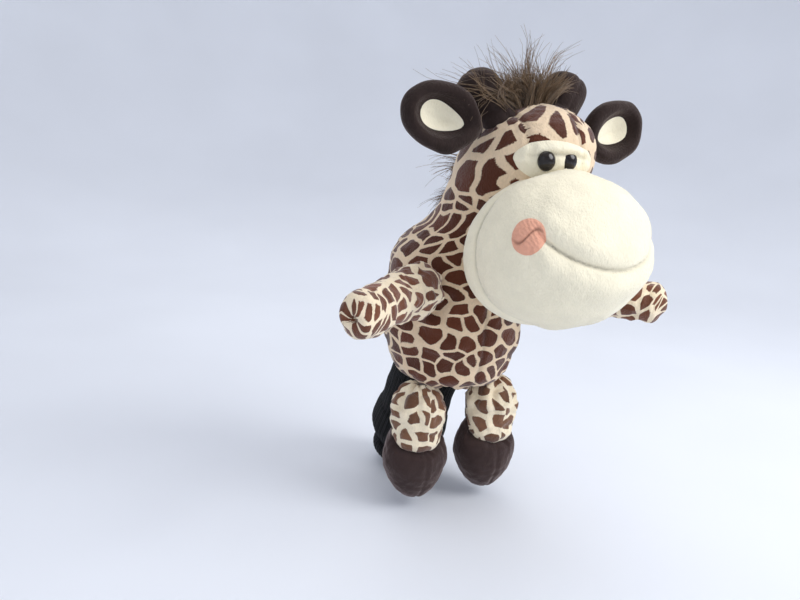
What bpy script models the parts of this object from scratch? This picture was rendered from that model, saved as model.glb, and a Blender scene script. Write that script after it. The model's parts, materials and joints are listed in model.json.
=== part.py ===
"""A plush giraffe head cover for a golf driver.

Frame: +Z is up, +X is the giraffe's left and -Y is the way it faces. The origin is the middle of the crown
seat, the flat pad in the roof of the body's pocket that the crown of a driver head pushes up against. Sizes
are written in millimetres and multiplied by MM, so every value in the script is in metres.

The body is a padded bag around the driver pocket, with a knitted sleeve for the shaft at its lower back.
Head, arms, legs, hooves and ears are stuffed pieces that turn in sockets pressed into what carries them.
"""

import math

import bmesh
import bpy
from mathutils import Matrix, Vector

MM = 0.001

# Cloth, gaps and clearances
CLOTH = 1.5 * MM
KNIT = 1.8 * MM
GAP = 0.3 * MM
SEAM_GAP = 0.9 * MM
JOINT_CLEARANCE = 1.2 * MM
STUFFING_GAP = 0.6 * MM
STUFFING_INSET = CLOTH + STUFFING_GAP

# Body: overall size, and its rings as (height, sideways, forward, half width, half depth) shares
TORSO_WIDTH = 124 * MM
TORSO_DEPTH = 130 * MM
TORSO_HEIGHT = 141 * MM
TORSO_BASE = -111 * MM
TORSO_SEGMENTS = 20
TORSO_SHAPE = (
    (0.000, 0.00, -0.15, 0.08, 0.08),
    (0.028, 0.00, -0.11, 0.50, 0.46),
    (0.092, 0.00, -0.06, 0.78, 0.69),
    (0.191, 0.00, -0.03, 0.89, 0.79),
    (0.333, 0.00, 0.00, 0.98, 0.91),
    (0.475, 0.00, 0.03, 1.00, 0.95),
    (0.617, 0.00, 0.05, 0.97, 0.97),
    (0.759, 0.03, 0.09, 0.93, 1.00),
    (0.865, 0.06, 0.11, 0.90, 0.92),
    (0.957, 0.13, 0.02, 0.82, 0.83),
    (1.000, 0.16, -0.05, 0.77, 0.77),
)
SIDE_SEAM_Y = 8 * MM

# Pocket for the driver head
POCKET_WALL = 15 * MM
POCKET_AXIS_Y = 2 * MM
POCKET_FLOOR = -70 * MM
POCKET_ROUNDING = 14 * MM
LINING = 1.5 * MM
SEAT_RADIUS = 26 * MM
SEAT_THICKNESS = 4 * MM

# Knitted sleeve: its axis runs from SLEEVE_EXIT down and back. Its shape is (share of its length below the
# body, share of its bulge)
SLEEVE_RADIUS = 33 * MM
SLEEVE_BULGE = 4 * MM
SLEEVE_MOUTH_RADIUS = 24 * MM
SLEEVE_LENGTH = 143 * MM
SLEEVE_TUCK = 45 * MM
SLEEVE_EXIT = Vector((0, 40, -114)) * MM
SLEEVE_LEAN = math.radians(21)
SLEEVE_SIDE_LEAN = math.radians(3.4)
SLEEVE_SHAPE = ((0.25, 0.0), (0.50, 0.7), (0.66, 1.0), (0.78, 0.6))
PASSAGE_REACH = 20 * MM
HEM_WIDTH = 12 * MM
ELASTIC_WIDTH = 7 * MM
ELASTIC_THICKNESS = 1.5 * MM

# Neck and head: the head turns on a ball at the neck
NECK_PIVOT = Vector((18, -14, 56)) * MM
NECK_BALL = 40 * MM
HEAD_ROLL = math.radians(-3)
HEAD_YAW = math.radians(-4)
HEAD_WIDTH = 106 * MM
HEAD_DEPTH = 114 * MM
HEAD_HEIGHT = 81 * MM
HEAD_OFFSET = 7 * MM
HEAD_SEGMENTS = 20
HEAD_SHAPE = (
    (0.25, -0.55, 0.94, 0.98),
    (0.43, -0.65, 1.00, 1.00),
    (0.62, -0.75, 0.94, 0.90),
    (0.77, -0.82, 0.81, 0.76),
    (0.89, -0.86, 0.55, 0.53),
    (1.00, -0.86, 0.06, 0.06),
)
NECK_SKIN_SHARE = 0.7
GUSSET_WIDTH = 40 * MM
FACE_PATCH_TOP = 58 * MM
FACE_PATCH_BOTTOM = 24 * MM
FACE_SEAM_MARGIN = 5 * MM

# Muzzle: half its size each way, and how far its middle is in front of the face and below the neck pivot.
# The smile, with a cheek at each end, is turned a little to the giraffe's left.
MUZZLE_SIZE = Vector((72, 58, 59)) * MM
MUZZLE_FORWARD = 6 * MM
MUZZLE_DROP = 25 * MM
MOUTH_DROP = 10 * MM
MUZZLE_BACK_SEAM = 12 * MM
CHEEK_RADIUS = 16 * MM
CHEEK_SIDE = math.radians(57)
CHEEK_RISE = math.radians(17)
SMILE_TURN = math.radians(13)

# Eyes
EYE_SPACING = 18.6 * MM
EYE_HEIGHT = 40 * MM
EYE_RADIUS = 6.5 * MM
EYE_BULGE = 5 * MM
EYE_SINK = 1 * MM
EYE_STEM_RADIUS = 2.2 * MM
EYE_STEM = 14 * MM
WASHER_RADIUS = 6 * MM
WASHER_THICKNESS = 3 * MM
WASHER_DEPTH = 8 * MM

# Ears and horns, placed on the head. An ear's shape is (share of its length, of its width, of its thickness)
EAR_LENGTH = 72 * MM
EAR_WIDTH = 56 * MM
EAR_THICKNESS = 24 * MM
EAR_BALL = 11 * MM
EAR_BALL_END = 24
EAR_SEAT = 4 * MM
EAR_HEIGHT = 52 * MM
EAR_LIFT = math.radians(20)
EAR_BACKWARD = 0.14
EAR_SHAPE = ((0.26, 0.66, 0.9), (0.42, 0.92, 1.0), (0.62, 1.0, 1.0), (0.82, 0.84, 0.85), (1.0, 0.16, 0.2))
EAR_DISH_LENGTH = 40 * MM
EAR_DISH_WIDTH = 28 * MM
EAR_DISH_DEPTH = 8 * MM
EAR_DISH_PLACE = 0.58
EAR_LINING_EDGE = 0.45
HORN_LENGTH = 42 * MM
HORN_SINK = 10 * MM
HORN_SHANK = 4 * MM
HORN_BALL_START = -30
HORN_BALL = 18 * MM
HORN_NECK = 14 * MM
HORN_SPREAD = 26 * MM
HORN_ROOT = Vector((0, 2, 69)) * MM
HORN_DIRECTION = Vector((12, 11, 18))

# Mane, and the tuft on the crown as (height, width, depth) shares
MANE_WIDTH = 18 * MM
MANE_DEPTH = 7 * MM
MANE_TAPE = 1.2 * MM
MANE_TAPE_WIDTH = 12 * MM
MANE_FOOT = -8 * MM
FORELOCK_HEIGHT = 44 * MM
FORELOCK_WIDTH = 28 * MM
FORELOCK_DEPTH = 15 * MM
FORELOCK_SHAPE = (
    (-0.12, 0.60, 0.80),
    (0.15, 0.66, 0.90),
    (0.40, 0.80, 1.00),
    (0.70, 1.00, 0.95),
    (0.90, 0.80, 0.70),
    (1.00, 0.30, 0.30),
)

# Arms
ARM_BALL = 21 * MM
ARM_SEAT = 4 * MM
ARM_REACH = 82 * MM
HAND_RADIUS = 19 * MM
SHOULDER_HEIGHT = 0.70
SHOULDER_ANGLE = math.radians(39)
ARM_FORWARD = math.radians(38)
ARM_DROOP = math.radians(5)
ARM_SKIN_START = 6 * MM

# Legs and hooves. A rounded end runs to ROUND_END degrees past its equator and closes with a small flat
LEG_BALL = 23 * MM
LEG_SEAT = 4 * MM
HIP_SPREAD = 37.5 * MM
HIP_FORWARD = 20 * MM
LEG_DROP = 16 * MM
LEG_FOOT_RADIUS = 21 * MM
LEG_SKIN_START = 6 * MM
LEG_HEM = 12 * MM
HOOF_SIZE = Vector((29, 25, 34)) * MM
HOOF_DROP = 39 * MM
HOOF_BACK = 4 * MM
HOOF_INWARD = 1.5 * MM
HOOF_TRIM = 1.5 * MM
LIMB_SEGMENTS = 16
ROUND_END = 80

SIDES = (("left", 1), ("right", -1))

# Colours as (red, green, blue, roughness)
SPOTTED = (0.55, 0.36, 0.24, 0.9)
IVORY = (0.88, 0.82, 0.66, 0.9)
PINK = (0.80, 0.38, 0.27, 0.9)
DARK_BROWN = (0.035, 0.022, 0.02, 0.9)
HOOF_BROWN = (0.05, 0.03, 0.028, 0.9)
HAIR = (0.16, 0.11, 0.06, 0.8)
BLACK_KNIT = (0.012, 0.012, 0.013, 0.95)
BLACK_GLOSS = (0.01, 0.008, 0.008, 0.15)
FIBRE = (0.9, 0.9, 0.88, 1.0)
PLASTIC = (0.8, 0.8, 0.78, 0.5)


def clear_scene():
    for obj in list(bpy.data.objects):
        bpy.data.objects.remove(obj, do_unlink=True)


def finish(name, colour):
    material = bpy.data.materials.new(name)
    material.use_nodes = True
    shader = material.node_tree.nodes["Principled BSDF"]
    shader.inputs["Base Color"].default_value = (*colour[:3], 1.0)
    shader.inputs["Roughness"].default_value = colour[3]
    shader.inputs["Metallic"].default_value = 0.0
    return material


def link(name, data, parent):
    obj = bpy.data.objects.new(name, data)
    bpy.context.scene.collection.objects.link(obj)
    obj.parent = parent
    return obj


def joint_empty(name, matrix, parent=None):
    """An empty on a joint's axis, which carries the pieces that move with it."""
    obj = link(name, None, parent)
    obj.matrix_local = matrix
    return obj


def mesh_from(name, bm):
    mesh = bpy.data.meshes.new(name)
    bm.to_mesh(mesh)
    bm.free()
    mesh.shade_smooth()
    return mesh


def piece(name, bm, colour, parent=None, wall=0.0, cutters=()):
    """One sub-part: a solid, or a surface thickened inwards by its wall, less what its neighbours take."""
    obj = link(name, mesh_from(name, bm), parent)
    obj.data.materials.append(finish(name, colour))
    if wall:
        cloth = obj.modifiers.new("Cloth", "SOLIDIFY")
        cloth.thickness = wall
        cloth.offset = -1.0
        cloth.use_even_offset = True
    for cutter in cutters:
        cut = obj.modifiers.new("Cut " + cutter.name, "BOOLEAN")
        cut.operation = "DIFFERENCE"
        cut.solver = "EXACT"
        cut.object = cutter
    return obj


def cutter_from(name, bm, parent=None):
    obj = link(name, mesh_from(name, bm), parent)
    obj.hide_render = True
    obj.display_type = "WIRE"
    return obj


def socket(name, radius, segments, centre=(0, 0, 0), parent=None):
    """The space that a ball turns in."""
    return cutter_from(name, ball(radius + JOINT_CLEARANCE, segments, centre), parent)


def frame_along(origin, direction, facing):
    """A frame at origin whose Z runs along direction and whose -Y looks as nearly along facing as it can."""
    z = direction.normalized()
    x = z.cross(facing).normalized()
    y = z.cross(x)
    return Matrix.Translation(origin) @ Matrix((x, y, z)).transposed().to_4x4()


def move_ring(verts, before, after):
    """Carries the points of one elliptical ring onto another. A ring is (x, y, z, half width, half depth)."""
    for vert in verts:
        across = (vert.co.x - before[0]) / before[3]
        along = (vert.co.y - before[1]) / before[4]
        vert.co = (after[0] + across * after[3], after[1] + along * after[4], after[2])


def loft(rings, segments):
    """A closed surface through a stack of elliptical rings, from the lowest to the highest."""
    bm = bmesh.new()
    rim = bmesh.ops.create_circle(bm, cap_ends=False, radius=1.0, segments=segments)["verts"]
    edges = bm.edges[:]
    move_ring(rim, (0, 0, 0, 1, 1), rings[0])
    for before, after in zip(rings, rings[1:]):
        made = bmesh.ops.extrude_edge_only(bm, edges=edges)["geom"]
        rim = [item for item in made if isinstance(item, bmesh.types.BMVert)]
        edges = [item for item in made if isinstance(item, bmesh.types.BMEdge)]
        edges = [edge for edge in edges if set(edge.verts) <= set(rim)]
        move_ring(rim, before, after)
    bmesh.ops.holes_fill(bm, edges=bm.edges[:], sides=segments)
    bmesh.ops.recalc_face_normals(bm, faces=bm.faces[:])
    return bm


def turned(profile, steps, ring=False):
    """A surface turned about Z from (radius, height) points. A ring's profile is closed, off the axis."""
    bm = bmesh.new()
    verts = [bm.verts.new((radius, 0, height)) for radius, height in profile]
    pairs = list(zip(verts, verts[1:]))
    if ring:
        pairs.append((verts[-1], verts[0]))
    edges = [bm.edges.new(pair) for pair in pairs]
    bmesh.ops.spin(
        bm, geom=verts + edges, cent=(0, 0, 0), axis=(0, 0, 1), angle=2 * math.pi, steps=steps, use_merge=True
    )
    bmesh.ops.remove_doubles(bm, verts=bm.verts[:], dist=0.001 * MM)
    bmesh.ops.recalc_face_normals(bm, faces=bm.faces[:])
    return bm


def ball(radius, segments, centre=(0, 0, 0)):
    bm = bmesh.new()
    bmesh.ops.create_uvsphere(bm, u_segments=segments, v_segments=segments // 2, radius=radius)
    bmesh.ops.translate(bm, verts=bm.verts[:], vec=centre)
    return bm


def ellipsoid(size, centre, segments):
    bm = ball(1.0, segments)
    bmesh.ops.scale(bm, verts=bm.verts[:], vec=size)
    bmesh.ops.translate(bm, verts=bm.verts[:], vec=centre)
    return bm


def grown(bm, distance):
    """The closed surface moved out along its normals, or in where distance is negative."""
    bm.normal_update()
    moved = [(vert, vert.co + vert.normal * distance * vert.calc_shell_factor()) for vert in bm.verts]
    for vert, place in moved:
        vert.co = place
    return bm


def opened(bm):
    """The surface without its flat end caps."""
    caps = [face for face in bm.faces if len(face.verts) > 4]
    bmesh.ops.delete(bm, geom=caps, context="FACES")
    return bm


def panel(bm, *planes):
    """The part of a surface behind every plane. A plane is (point, normal)."""
    for point, normal in planes:
        geometry = bm.verts[:] + bm.edges[:] + bm.faces[:]
        bmesh.ops.bisect_plane(bm, geom=geometry, plane_co=point, plane_no=normal, clear_outer=True)
    return bm


def half(bm, point, normal):
    """The half of a solid behind a plane, closed at the cut."""
    panel(bm, (point, normal))
    bmesh.ops.holes_fill(bm, edges=bm.edges[:], sides=0)
    bmesh.ops.recalc_face_normals(bm, faces=bm.faces[:])
    return bm


def arc(radius, start, end, steps):
    """Points (radius, height) along a circle about the origin, with angles measured from its equator."""
    angles = [math.radians(start + (end - start) * step / steps) for step in range(steps + 1)]
    return [(radius * math.cos(angle), radius * math.sin(angle)) for angle in angles]


# Body


def torso_rings():
    half_width = TORSO_WIDTH / 2
    half_depth = TORSO_DEPTH / 2
    return [
        (x * half_width, y * half_depth, TORSO_BASE + height * TORSO_HEIGHT, a * half_width, b * half_depth)
        for height, x, y, a, b in TORSO_SHAPE
    ]


def torso_form():
    return loft(torso_rings(), TORSO_SEGMENTS)


def torso_ring_at(share):
    """The body's ring at a share of its height, between the two rings that its shape gives."""
    for low, high in zip(TORSO_SHAPE, TORSO_SHAPE[1:]):
        if low[0] <= share <= high[0]:
            part = (share - low[0]) / (high[0] - low[0])
            _, x, y, a, b = (p + (q - p) * part for p, q in zip(low, high))
            break
    half_width = TORSO_WIDTH / 2
    half_depth = TORSO_DEPTH / 2
    return x * half_width, y * half_depth, TORSO_BASE + share * TORSO_HEIGHT, a * half_width, b * half_depth


def shoulder(side):
    """The centre of an arm's ball, which sinks into the body by its seat."""
    x, y, z, a, b = torso_ring_at(SHOULDER_HEIGHT)
    across = side * math.cos(SHOULDER_ANGLE)
    along = -math.sin(SHOULDER_ANGLE)
    normal = Vector((across / a, along / b, 0)).normalized()
    return Vector((x + a * across, y + b * along, z)) + normal * (ARM_BALL - ARM_SEAT)


def hip(side):
    """The centre of a leg's ball, under the point of the body's underside that it sinks into."""
    x = side * HIP_SPREAD
    y = -HIP_FORWARD
    z = TORSO_BASE
    for low, high in zip(torso_rings(), torso_rings()[1:]):
        reach = [math.hypot((x - ring[0]) / ring[3], (y - ring[1]) / ring[4]) for ring in (low, high)]
        if reach[0] >= 1 >= reach[1]:
            z = low[2] + (high[2] - low[2]) * (reach[0] - 1) / (reach[0] - reach[1])
            break
    return Vector((x, y, z - LEG_BALL + LEG_SEAT))


def pocket_radius():
    """The pocket is round, so the narrower way across the body sets it."""
    return min(TORSO_WIDTH, TORSO_DEPTH) / 2 - POCKET_WALL


def pocket_profile(radius, floor, roof):
    """Half of the pocket's outline from its floor to its roof, with rounded corners."""
    floor_corner = arc(POCKET_ROUNDING, -90, 0, 3)
    roof_corner = arc(POCKET_ROUNDING, 0, 90, 3)
    inner = radius - POCKET_ROUNDING
    points = [(0, floor)]
    points += [(inner + x, floor + POCKET_ROUNDING + z) for x, z in floor_corner]
    points += [(inner + x, roof - POCKET_ROUNDING + z) for x, z in roof_corner]
    points.append((0, roof))
    return points


def pocket_form(margin):
    """The pocket's space, larger all round by a margin."""
    profile = pocket_profile(pocket_radius() + margin, POCKET_FLOOR - margin, SEAT_THICKNESS + GAP + margin)
    bm = turned(profile, TORSO_SEGMENTS)
    bmesh.ops.translate(bm, verts=bm.verts[:], vec=(0, POCKET_AXIS_Y, 0))
    return bm


def sleeve_frame():
    """The sleeve's frame: its Z runs down the shaft, from the place where the sleeve leaves the body."""
    down = Vector((-math.sin(SLEEVE_SIDE_LEAN), math.sin(SLEEVE_LEAN), -math.cos(SLEEVE_LEAN)))
    return frame_along(SLEEVE_EXIT, down, Vector((0, -1, 0)))


def sleeve_outline():
    """The sleeve's outer radius down its length, from the end tucked into the body to the gathered mouth."""
    end = SLEEVE_LENGTH - SLEEVE_TUCK
    points = [(SLEEVE_RADIUS, -SLEEVE_TUCK)]
    points += [(SLEEVE_RADIUS + bulge * SLEEVE_BULGE, share * end) for share, bulge in SLEEVE_SHAPE]
    points += [(SLEEVE_MOUTH_RADIUS, end - HEM_WIDTH), (SLEEVE_MOUTH_RADIUS, end)]
    return points


def make_body(cutters):
    seam_x = SEAM_GAP / 2
    sides = {"left": (Vector((seam_x, 0, 0)), (-1, 0, 0)), "right": (Vector((-seam_x, 0, 0)), (1, 0, 0))}
    front = (Vector((0, SIDE_SEAM_Y - SEAM_GAP / 2, 0)), (0, 1, 0))
    back = (Vector((0, SIDE_SEAM_Y + SEAM_GAP / 2, 0)), (0, -1, 0))
    passage = cutters["sleeve_passage"]
    neck = cutters["neck_socket"]
    for side in ("left", "right"):
        shoulder_cut = cutters["shoulder_socket_" + side]
        hip_cut = cutters["hip_socket_" + side]
        bm = panel(opened(torso_form()), sides[side], front)
        piece("body_front_panel_" + side, bm, SPOTTED, wall=CLOTH, cutters=(shoulder_cut, hip_cut, passage))
        bm = panel(opened(torso_form()), sides[side], back)
        piece("body_back_panel_" + side, bm, SPOTTED, wall=CLOTH, cutters=(passage,))
    pocket = cutter_from("pocket_space", pocket_form(LINING + GAP))
    sockets = [cutters[name + side] for side, _ in SIDES for name in ("shoulder_socket_", "hip_socket_")]
    bm = half(grown(torso_form(), -STUFFING_INSET), *front)
    piece("body_padding_front", bm, FIBRE, cutters=(pocket, neck, passage, *sockets))
    bm = half(grown(torso_form(), -STUFFING_INSET), *back)
    piece("body_padding_back", bm, FIBRE, cutters=(pocket, neck, passage))


def make_pocket(cutters):
    outer = pocket_profile(pocket_radius() + LINING, POCKET_FLOOR - LINING, SEAT_THICKNESS + GAP + LINING)
    inner = cutter_from("lining_space", pocket_form(0))
    bm = turned(outer, TORSO_SEGMENTS)
    bmesh.ops.translate(bm, verts=bm.verts[:], vec=(0, POCKET_AXIS_Y, 0))
    piece("pocket_lining", bm, BLACK_KNIT, cutters=(inner, cutters["sleeve_passage"]))
    bm = bmesh.new()
    radius = SEAT_RADIUS
    bmesh.ops.create_cone(
        bm, cap_ends=True, segments=TORSO_SEGMENTS, radius1=radius, radius2=radius, depth=SEAT_THICKNESS
    )
    bmesh.ops.translate(bm, verts=bm.verts[:], vec=(0, 0, SEAT_THICKNESS / 2))
    piece("crown_seat_pad", bm, BLACK_KNIT)


def make_sleeve(frame):
    outline = sleeve_outline()
    inside = [(radius - KNIT, height) for radius, height in reversed(outline)]
    piece("shaft_sleeve", turned(outline + inside, TORSO_SEGMENTS, ring=True), BLACK_KNIT, frame)
    end = SLEEVE_LENGTH - SLEEVE_TUCK
    inner = SLEEVE_MOUTH_RADIUS + GAP
    groove = inner + ELASTIC_THICKNESS + GAP
    lip = (HEM_WIDTH - ELASTIC_WIDTH - 2 * GAP) / 2
    start = end - HEM_WIDTH
    floor = end + GAP
    hem = [
        (inner, start),
        (groove + KNIT, start),
        (groove + KNIT, floor + KNIT),
        (SLEEVE_MOUTH_RADIUS - KNIT, floor + KNIT),
        (SLEEVE_MOUTH_RADIUS - KNIT, floor),
        (inner, floor),
        (inner, end - lip),
        (groove, end - lip),
        (groove, start + lip),
        (inner, start + lip),
    ]
    piece("sleeve_hem", turned(hem, TORSO_SEGMENTS, ring=True), BLACK_KNIT, frame)
    band = [
        (inner, start + lip + GAP),
        (inner + ELASTIC_THICKNESS, start + lip + GAP),
        (inner + ELASTIC_THICKNESS, end - lip - GAP),
        (inner, end - lip - GAP),
    ]
    piece("mouth_elastic", turned(band, TORSO_SEGMENTS, ring=True), BLACK_KNIT, frame)


# Head


def head_rings():
    """The head's rings about the neck pivot: the underside of the neck ball, then the skull to its crown."""
    rings = [(0, 0, height, radius, radius) for radius, height in arc(NECK_BALL, -ROUND_END, 0, 4)]
    half_width = HEAD_WIDTH / 2
    half_depth = HEAD_DEPTH / 2
    rings += [
        (HEAD_OFFSET, y * half_depth, height * HEAD_HEIGHT, a * half_width, b * half_depth)
        for height, y, a, b in HEAD_SHAPE
    ]
    return rings


def head_form():
    return loft(head_rings(), HEAD_SEGMENTS)


def head_ring_at(height):
    """The skull's ring at a height above the neck pivot."""
    rings = head_rings()
    for low, high in zip(rings, rings[1:]):
        if low[2] <= height <= high[2]:
            part = (height - low[2]) / (high[2] - low[2])
            return tuple(p + (q - p) * part for p, q in zip(low, high))
    return rings[-1]


def head_closed_top():
    """The head's surface without the flat end under its neck, and with its crown closed."""
    bm = head_form()
    lowest = min(bm.faces, key=lambda face: face.calc_center_median().z)
    bmesh.ops.delete(bm, geom=[lowest], context="FACES")
    return bm


def skull_middle():
    """How far forward the skull's middle is at its widest ring."""
    return HEAD_SHAPE[1][1] * HEAD_DEPTH / 2


def face_front():
    """How far forward the skull reaches."""
    return skull_middle() - HEAD_DEPTH / 2


def crown_middle():
    """How far forward the skull's middle is near its crown."""
    return HEAD_SHAPE[-2][1] * HEAD_DEPTH / 2


def face_seam_slope():
    """How steeply the seam falls from the brow to just behind the gusset's edges on the neck ball."""
    edge = HEAD_OFFSET + GUSSET_WIDTH / 2
    foot = FACE_SEAM_MARGIN - math.sqrt(NECK_BALL**2 - edge**2)
    return (foot - face_front()) / FACE_PATCH_TOP


def muzzle_centre():
    return Vector((HEAD_OFFSET, face_front() - MUZZLE_FORWARD, -MUZZLE_DROP))


def muzzle_form():
    return ellipsoid(MUZZLE_SIZE, muzzle_centre(), HEAD_SEGMENTS)


def eye_centre(side):
    """Where an eye's back lies on the face."""
    x, y, _, a, b = head_ring_at(EYE_HEIGHT)
    across = EYE_SPACING / 2 / a
    return Vector((x + side * EYE_SPACING / 2, y - b * math.sqrt(1 - across**2) + EYE_SINK, EYE_HEIGHT))


def make_face_cutters(neck):
    """The spaces that the eyes, with their stems and washers, take out of the face."""
    stem = EYE_STEM_RADIUS + GAP
    washer = WASHER_RADIUS + GAP
    far = WASHER_DEPTH + WASHER_THICKNESS + GAP
    profile = [
        (0, -3 * EYE_BULGE),
        (EYE_RADIUS + GAP, -3 * EYE_BULGE),
        (EYE_RADIUS + GAP, GAP),
        (stem, GAP),
        (stem, WASHER_DEPTH - GAP),
        (washer, WASHER_DEPTH - GAP),
        (washer, far),
        (stem, far),
        (stem, EYE_STEM + GAP),
        (0, EYE_STEM + GAP),
    ]
    found = []
    for side, sign in SIDES:
        place = frame_along(eye_centre(sign), Vector((0, 1, 0)), Vector((0, 0, -1)))
        frame = joint_empty("eye_place_" + side, place, neck)
        found.append((side, frame, cutter_from("eye_space_" + side, turned(profile, LIMB_SEGMENTS), frame)))
    return found


def make_eyes(places):
    angles = [math.radians(degrees) for degrees in range(0, 91, 15)]
    dome = [(EYE_RADIUS * math.sin(angle), -EYE_BULGE * math.cos(angle)) for angle in angles]
    profile = dome + [(EYE_STEM_RADIUS, 0), (EYE_STEM_RADIUS, EYE_STEM), (0, EYE_STEM)]
    hole = EYE_STEM_RADIUS + GAP
    ring = [
        (hole, WASHER_DEPTH),
        (WASHER_RADIUS, WASHER_DEPTH),
        (WASHER_RADIUS, WASHER_DEPTH + WASHER_THICKNESS),
        (hole, WASHER_DEPTH + WASHER_THICKNESS),
    ]
    for side, frame, _ in places:
        piece("eye_" + side, turned(profile, LIMB_SEGMENTS), BLACK_GLOSS, frame)
        piece("eye_washer_" + side, turned(ring, LIMB_SEGMENTS, ring=True), PLASTIC, frame)


def ear_root(side):
    """The centre of an ear's ball, which sinks into the skull by its seat."""
    x, y, z, a, _ = head_ring_at(EAR_HEIGHT)
    return Vector((x + side * (a + EAR_BALL - EAR_SEAT), y, z))


def make_head(neck, ear_sockets, eye_places):
    muzzle_space = cutter_from("muzzle_space", grown(muzzle_form(), GAP), neck)
    eyes = [cutter for _, _, cutter in eye_places]
    edge = (Vector((0, 0, -NECK_SKIN_SHARE * NECK_BALL)), (0, 0, -1))
    inner = GUSSET_WIDTH / 2
    outer = inner + SEAM_GAP
    for side, sign in SIDES:
        seam = (Vector((HEAD_OFFSET + sign * outer, 0, 0)), (-sign, 0, 0))
        form = panel(opened(head_form()), edge, seam)
        piece("head_side_panel_" + side, form, SPOTTED, neck, CLOTH, (muzzle_space, ear_sockets[side]))
    strip = (
        (Vector((HEAD_OFFSET + inner, 0, 0)), (1, 0, 0)),
        (Vector((HEAD_OFFSET - inner, 0, 0)), (-1, 0, 0)),
        edge,
    )
    brow = Vector((0, face_front(), FACE_PATCH_TOP))
    slope = Vector((0, -1, -face_seam_slope())).normalized()
    face = (
        (brow + slope * SEAM_GAP, -slope),
        (Vector((0, 0, FACE_PATCH_BOTTOM)), (0, 0, -1)),
    )
    gusset_form = panel(head_closed_top(), *strip, (brow, slope))
    piece("crown_gusset", gusset_form, SPOTTED, neck, CLOTH, (muzzle_space,))
    face_form = panel(opened(head_form()), *strip, *face)
    piece("face_patch", face_form, IVORY, neck, CLOTH, (muzzle_space, *eyes))
    cutters = (muzzle_space, *ear_sockets.values(), *eyes)
    piece("head_stuffing", grown(head_form(), -STUFFING_INSET), FIBRE, neck, cutters=cutters)


def make_muzzle(neck, eye_places):
    centre = muzzle_centre()
    eyes = [cutter for _, _, cutter in eye_places]
    seam = SEAM_GAP / 2
    mouth = centre - Vector((0, 0, MOUTH_DROP))
    back = centre + Vector((0, MUZZLE_BACK_SEAM, 0))
    front = (back - Vector((0, seam, 0)), (0, 1, 0))
    above = (mouth + Vector((0, 0, seam)), (0, 0, -1))
    below = (mouth - Vector((0, 0, seam)), (0, 0, 1))
    behind = (back + Vector((0, seam, 0)), (0, -1, 0))
    piece("muzzle_upper_panel", panel(muzzle_form(), front, above), IVORY, neck, CLOTH, eyes)
    piece("muzzle_lower_panel", panel(muzzle_form(), front, below), IVORY, neck, CLOTH)
    piece("muzzle_back_panel", panel(muzzle_form(), behind), IVORY, neck, CLOTH)
    piece("muzzle_stuffing", grown(muzzle_form(), -STUFFING_INSET), FIBRE, neck, cutters=eyes)
    for side, sign in SIDES:
        make_cheek(neck, side, sign)


def make_cheek(neck, side, sign):
    """A round patch that lies on the muzzle at one corner of the mouth."""
    turn = sign * CHEEK_SIDE + SMILE_TURN
    level = math.cos(CHEEK_RISE)
    outward = Vector((level * math.sin(turn), -level * math.cos(turn), math.sin(CHEEK_RISE)))
    size = MUZZLE_SIZE + Vector((1, 1, 1)) * (CLOTH + GAP)
    scaled = Vector(reach * share for reach, share in zip(size, outward))
    normal = Vector(share / reach for reach, share in zip(size, outward)).normalized()
    mean = (size.x + size.y + size.z) / 3
    depth = mean - math.sqrt(mean**2 - CHEEK_RADIUS**2)
    bm = ellipsoid(size, muzzle_centre(), HEAD_SEGMENTS * 2)
    edge = muzzle_centre() + scaled - normal * depth
    piece("cheek_patch_" + side, panel(bm, (edge, -normal)), PINK, neck, CLOTH)


def ear_rings():
    """The ear from its ball to its tip, flat front to back: a leaf that is widest beyond its middle."""
    rings = [(0, 0, height, radius, radius) for radius, height in arc(EAR_BALL, -ROUND_END, EAR_BALL_END, 4)]
    wide = EAR_WIDTH / 2
    thick = EAR_THICKNESS / 2
    rings += [(0, 0, share * EAR_LENGTH, a * wide, b * thick) for share, a, b in EAR_SHAPE]
    return rings


def ear_dish(shrink):
    size = Vector((EAR_DISH_WIDTH / 2, EAR_DISH_DEPTH, EAR_DISH_LENGTH / 2)) - Vector((1, 1, 1)) * shrink
    return ellipsoid(size, (0, -EAR_THICKNESS / 2, EAR_DISH_PLACE * EAR_LENGTH), LIMB_SEGMENTS)


def make_ears(places):
    for side, frame in places.items():
        dish = cutter_from("ear_dish_" + side, ear_dish(0), frame)
        piece("ear_" + side, loft(ear_rings(), LIMB_SEGMENTS), DARK_BROWN, frame, cutters=(dish,))
        rim = Vector((0, -EAR_THICKNESS / 2 + EAR_LINING_EDGE * EAR_DISH_DEPTH, 0))
        lining = panel(ear_dish(GAP), (rim, (0, -1, 0)))
        piece("ear_lining_" + side, lining, IVORY, frame, CLOTH)


def horn_rings():
    """The horn along its Z, from inside the skull up its shank to the stuffed ball at its tip."""
    rings = [(0, 0, height, HORN_NECK, HORN_NECK) for height in (-HORN_SINK, HORN_SHANK)]
    middle = HORN_LENGTH - HORN_BALL
    tip = arc(HORN_BALL, HORN_BALL_START, ROUND_END, 6)
    rings += [(0, 0, middle + height, radius, radius) for radius, height in tip]
    return rings


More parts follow.
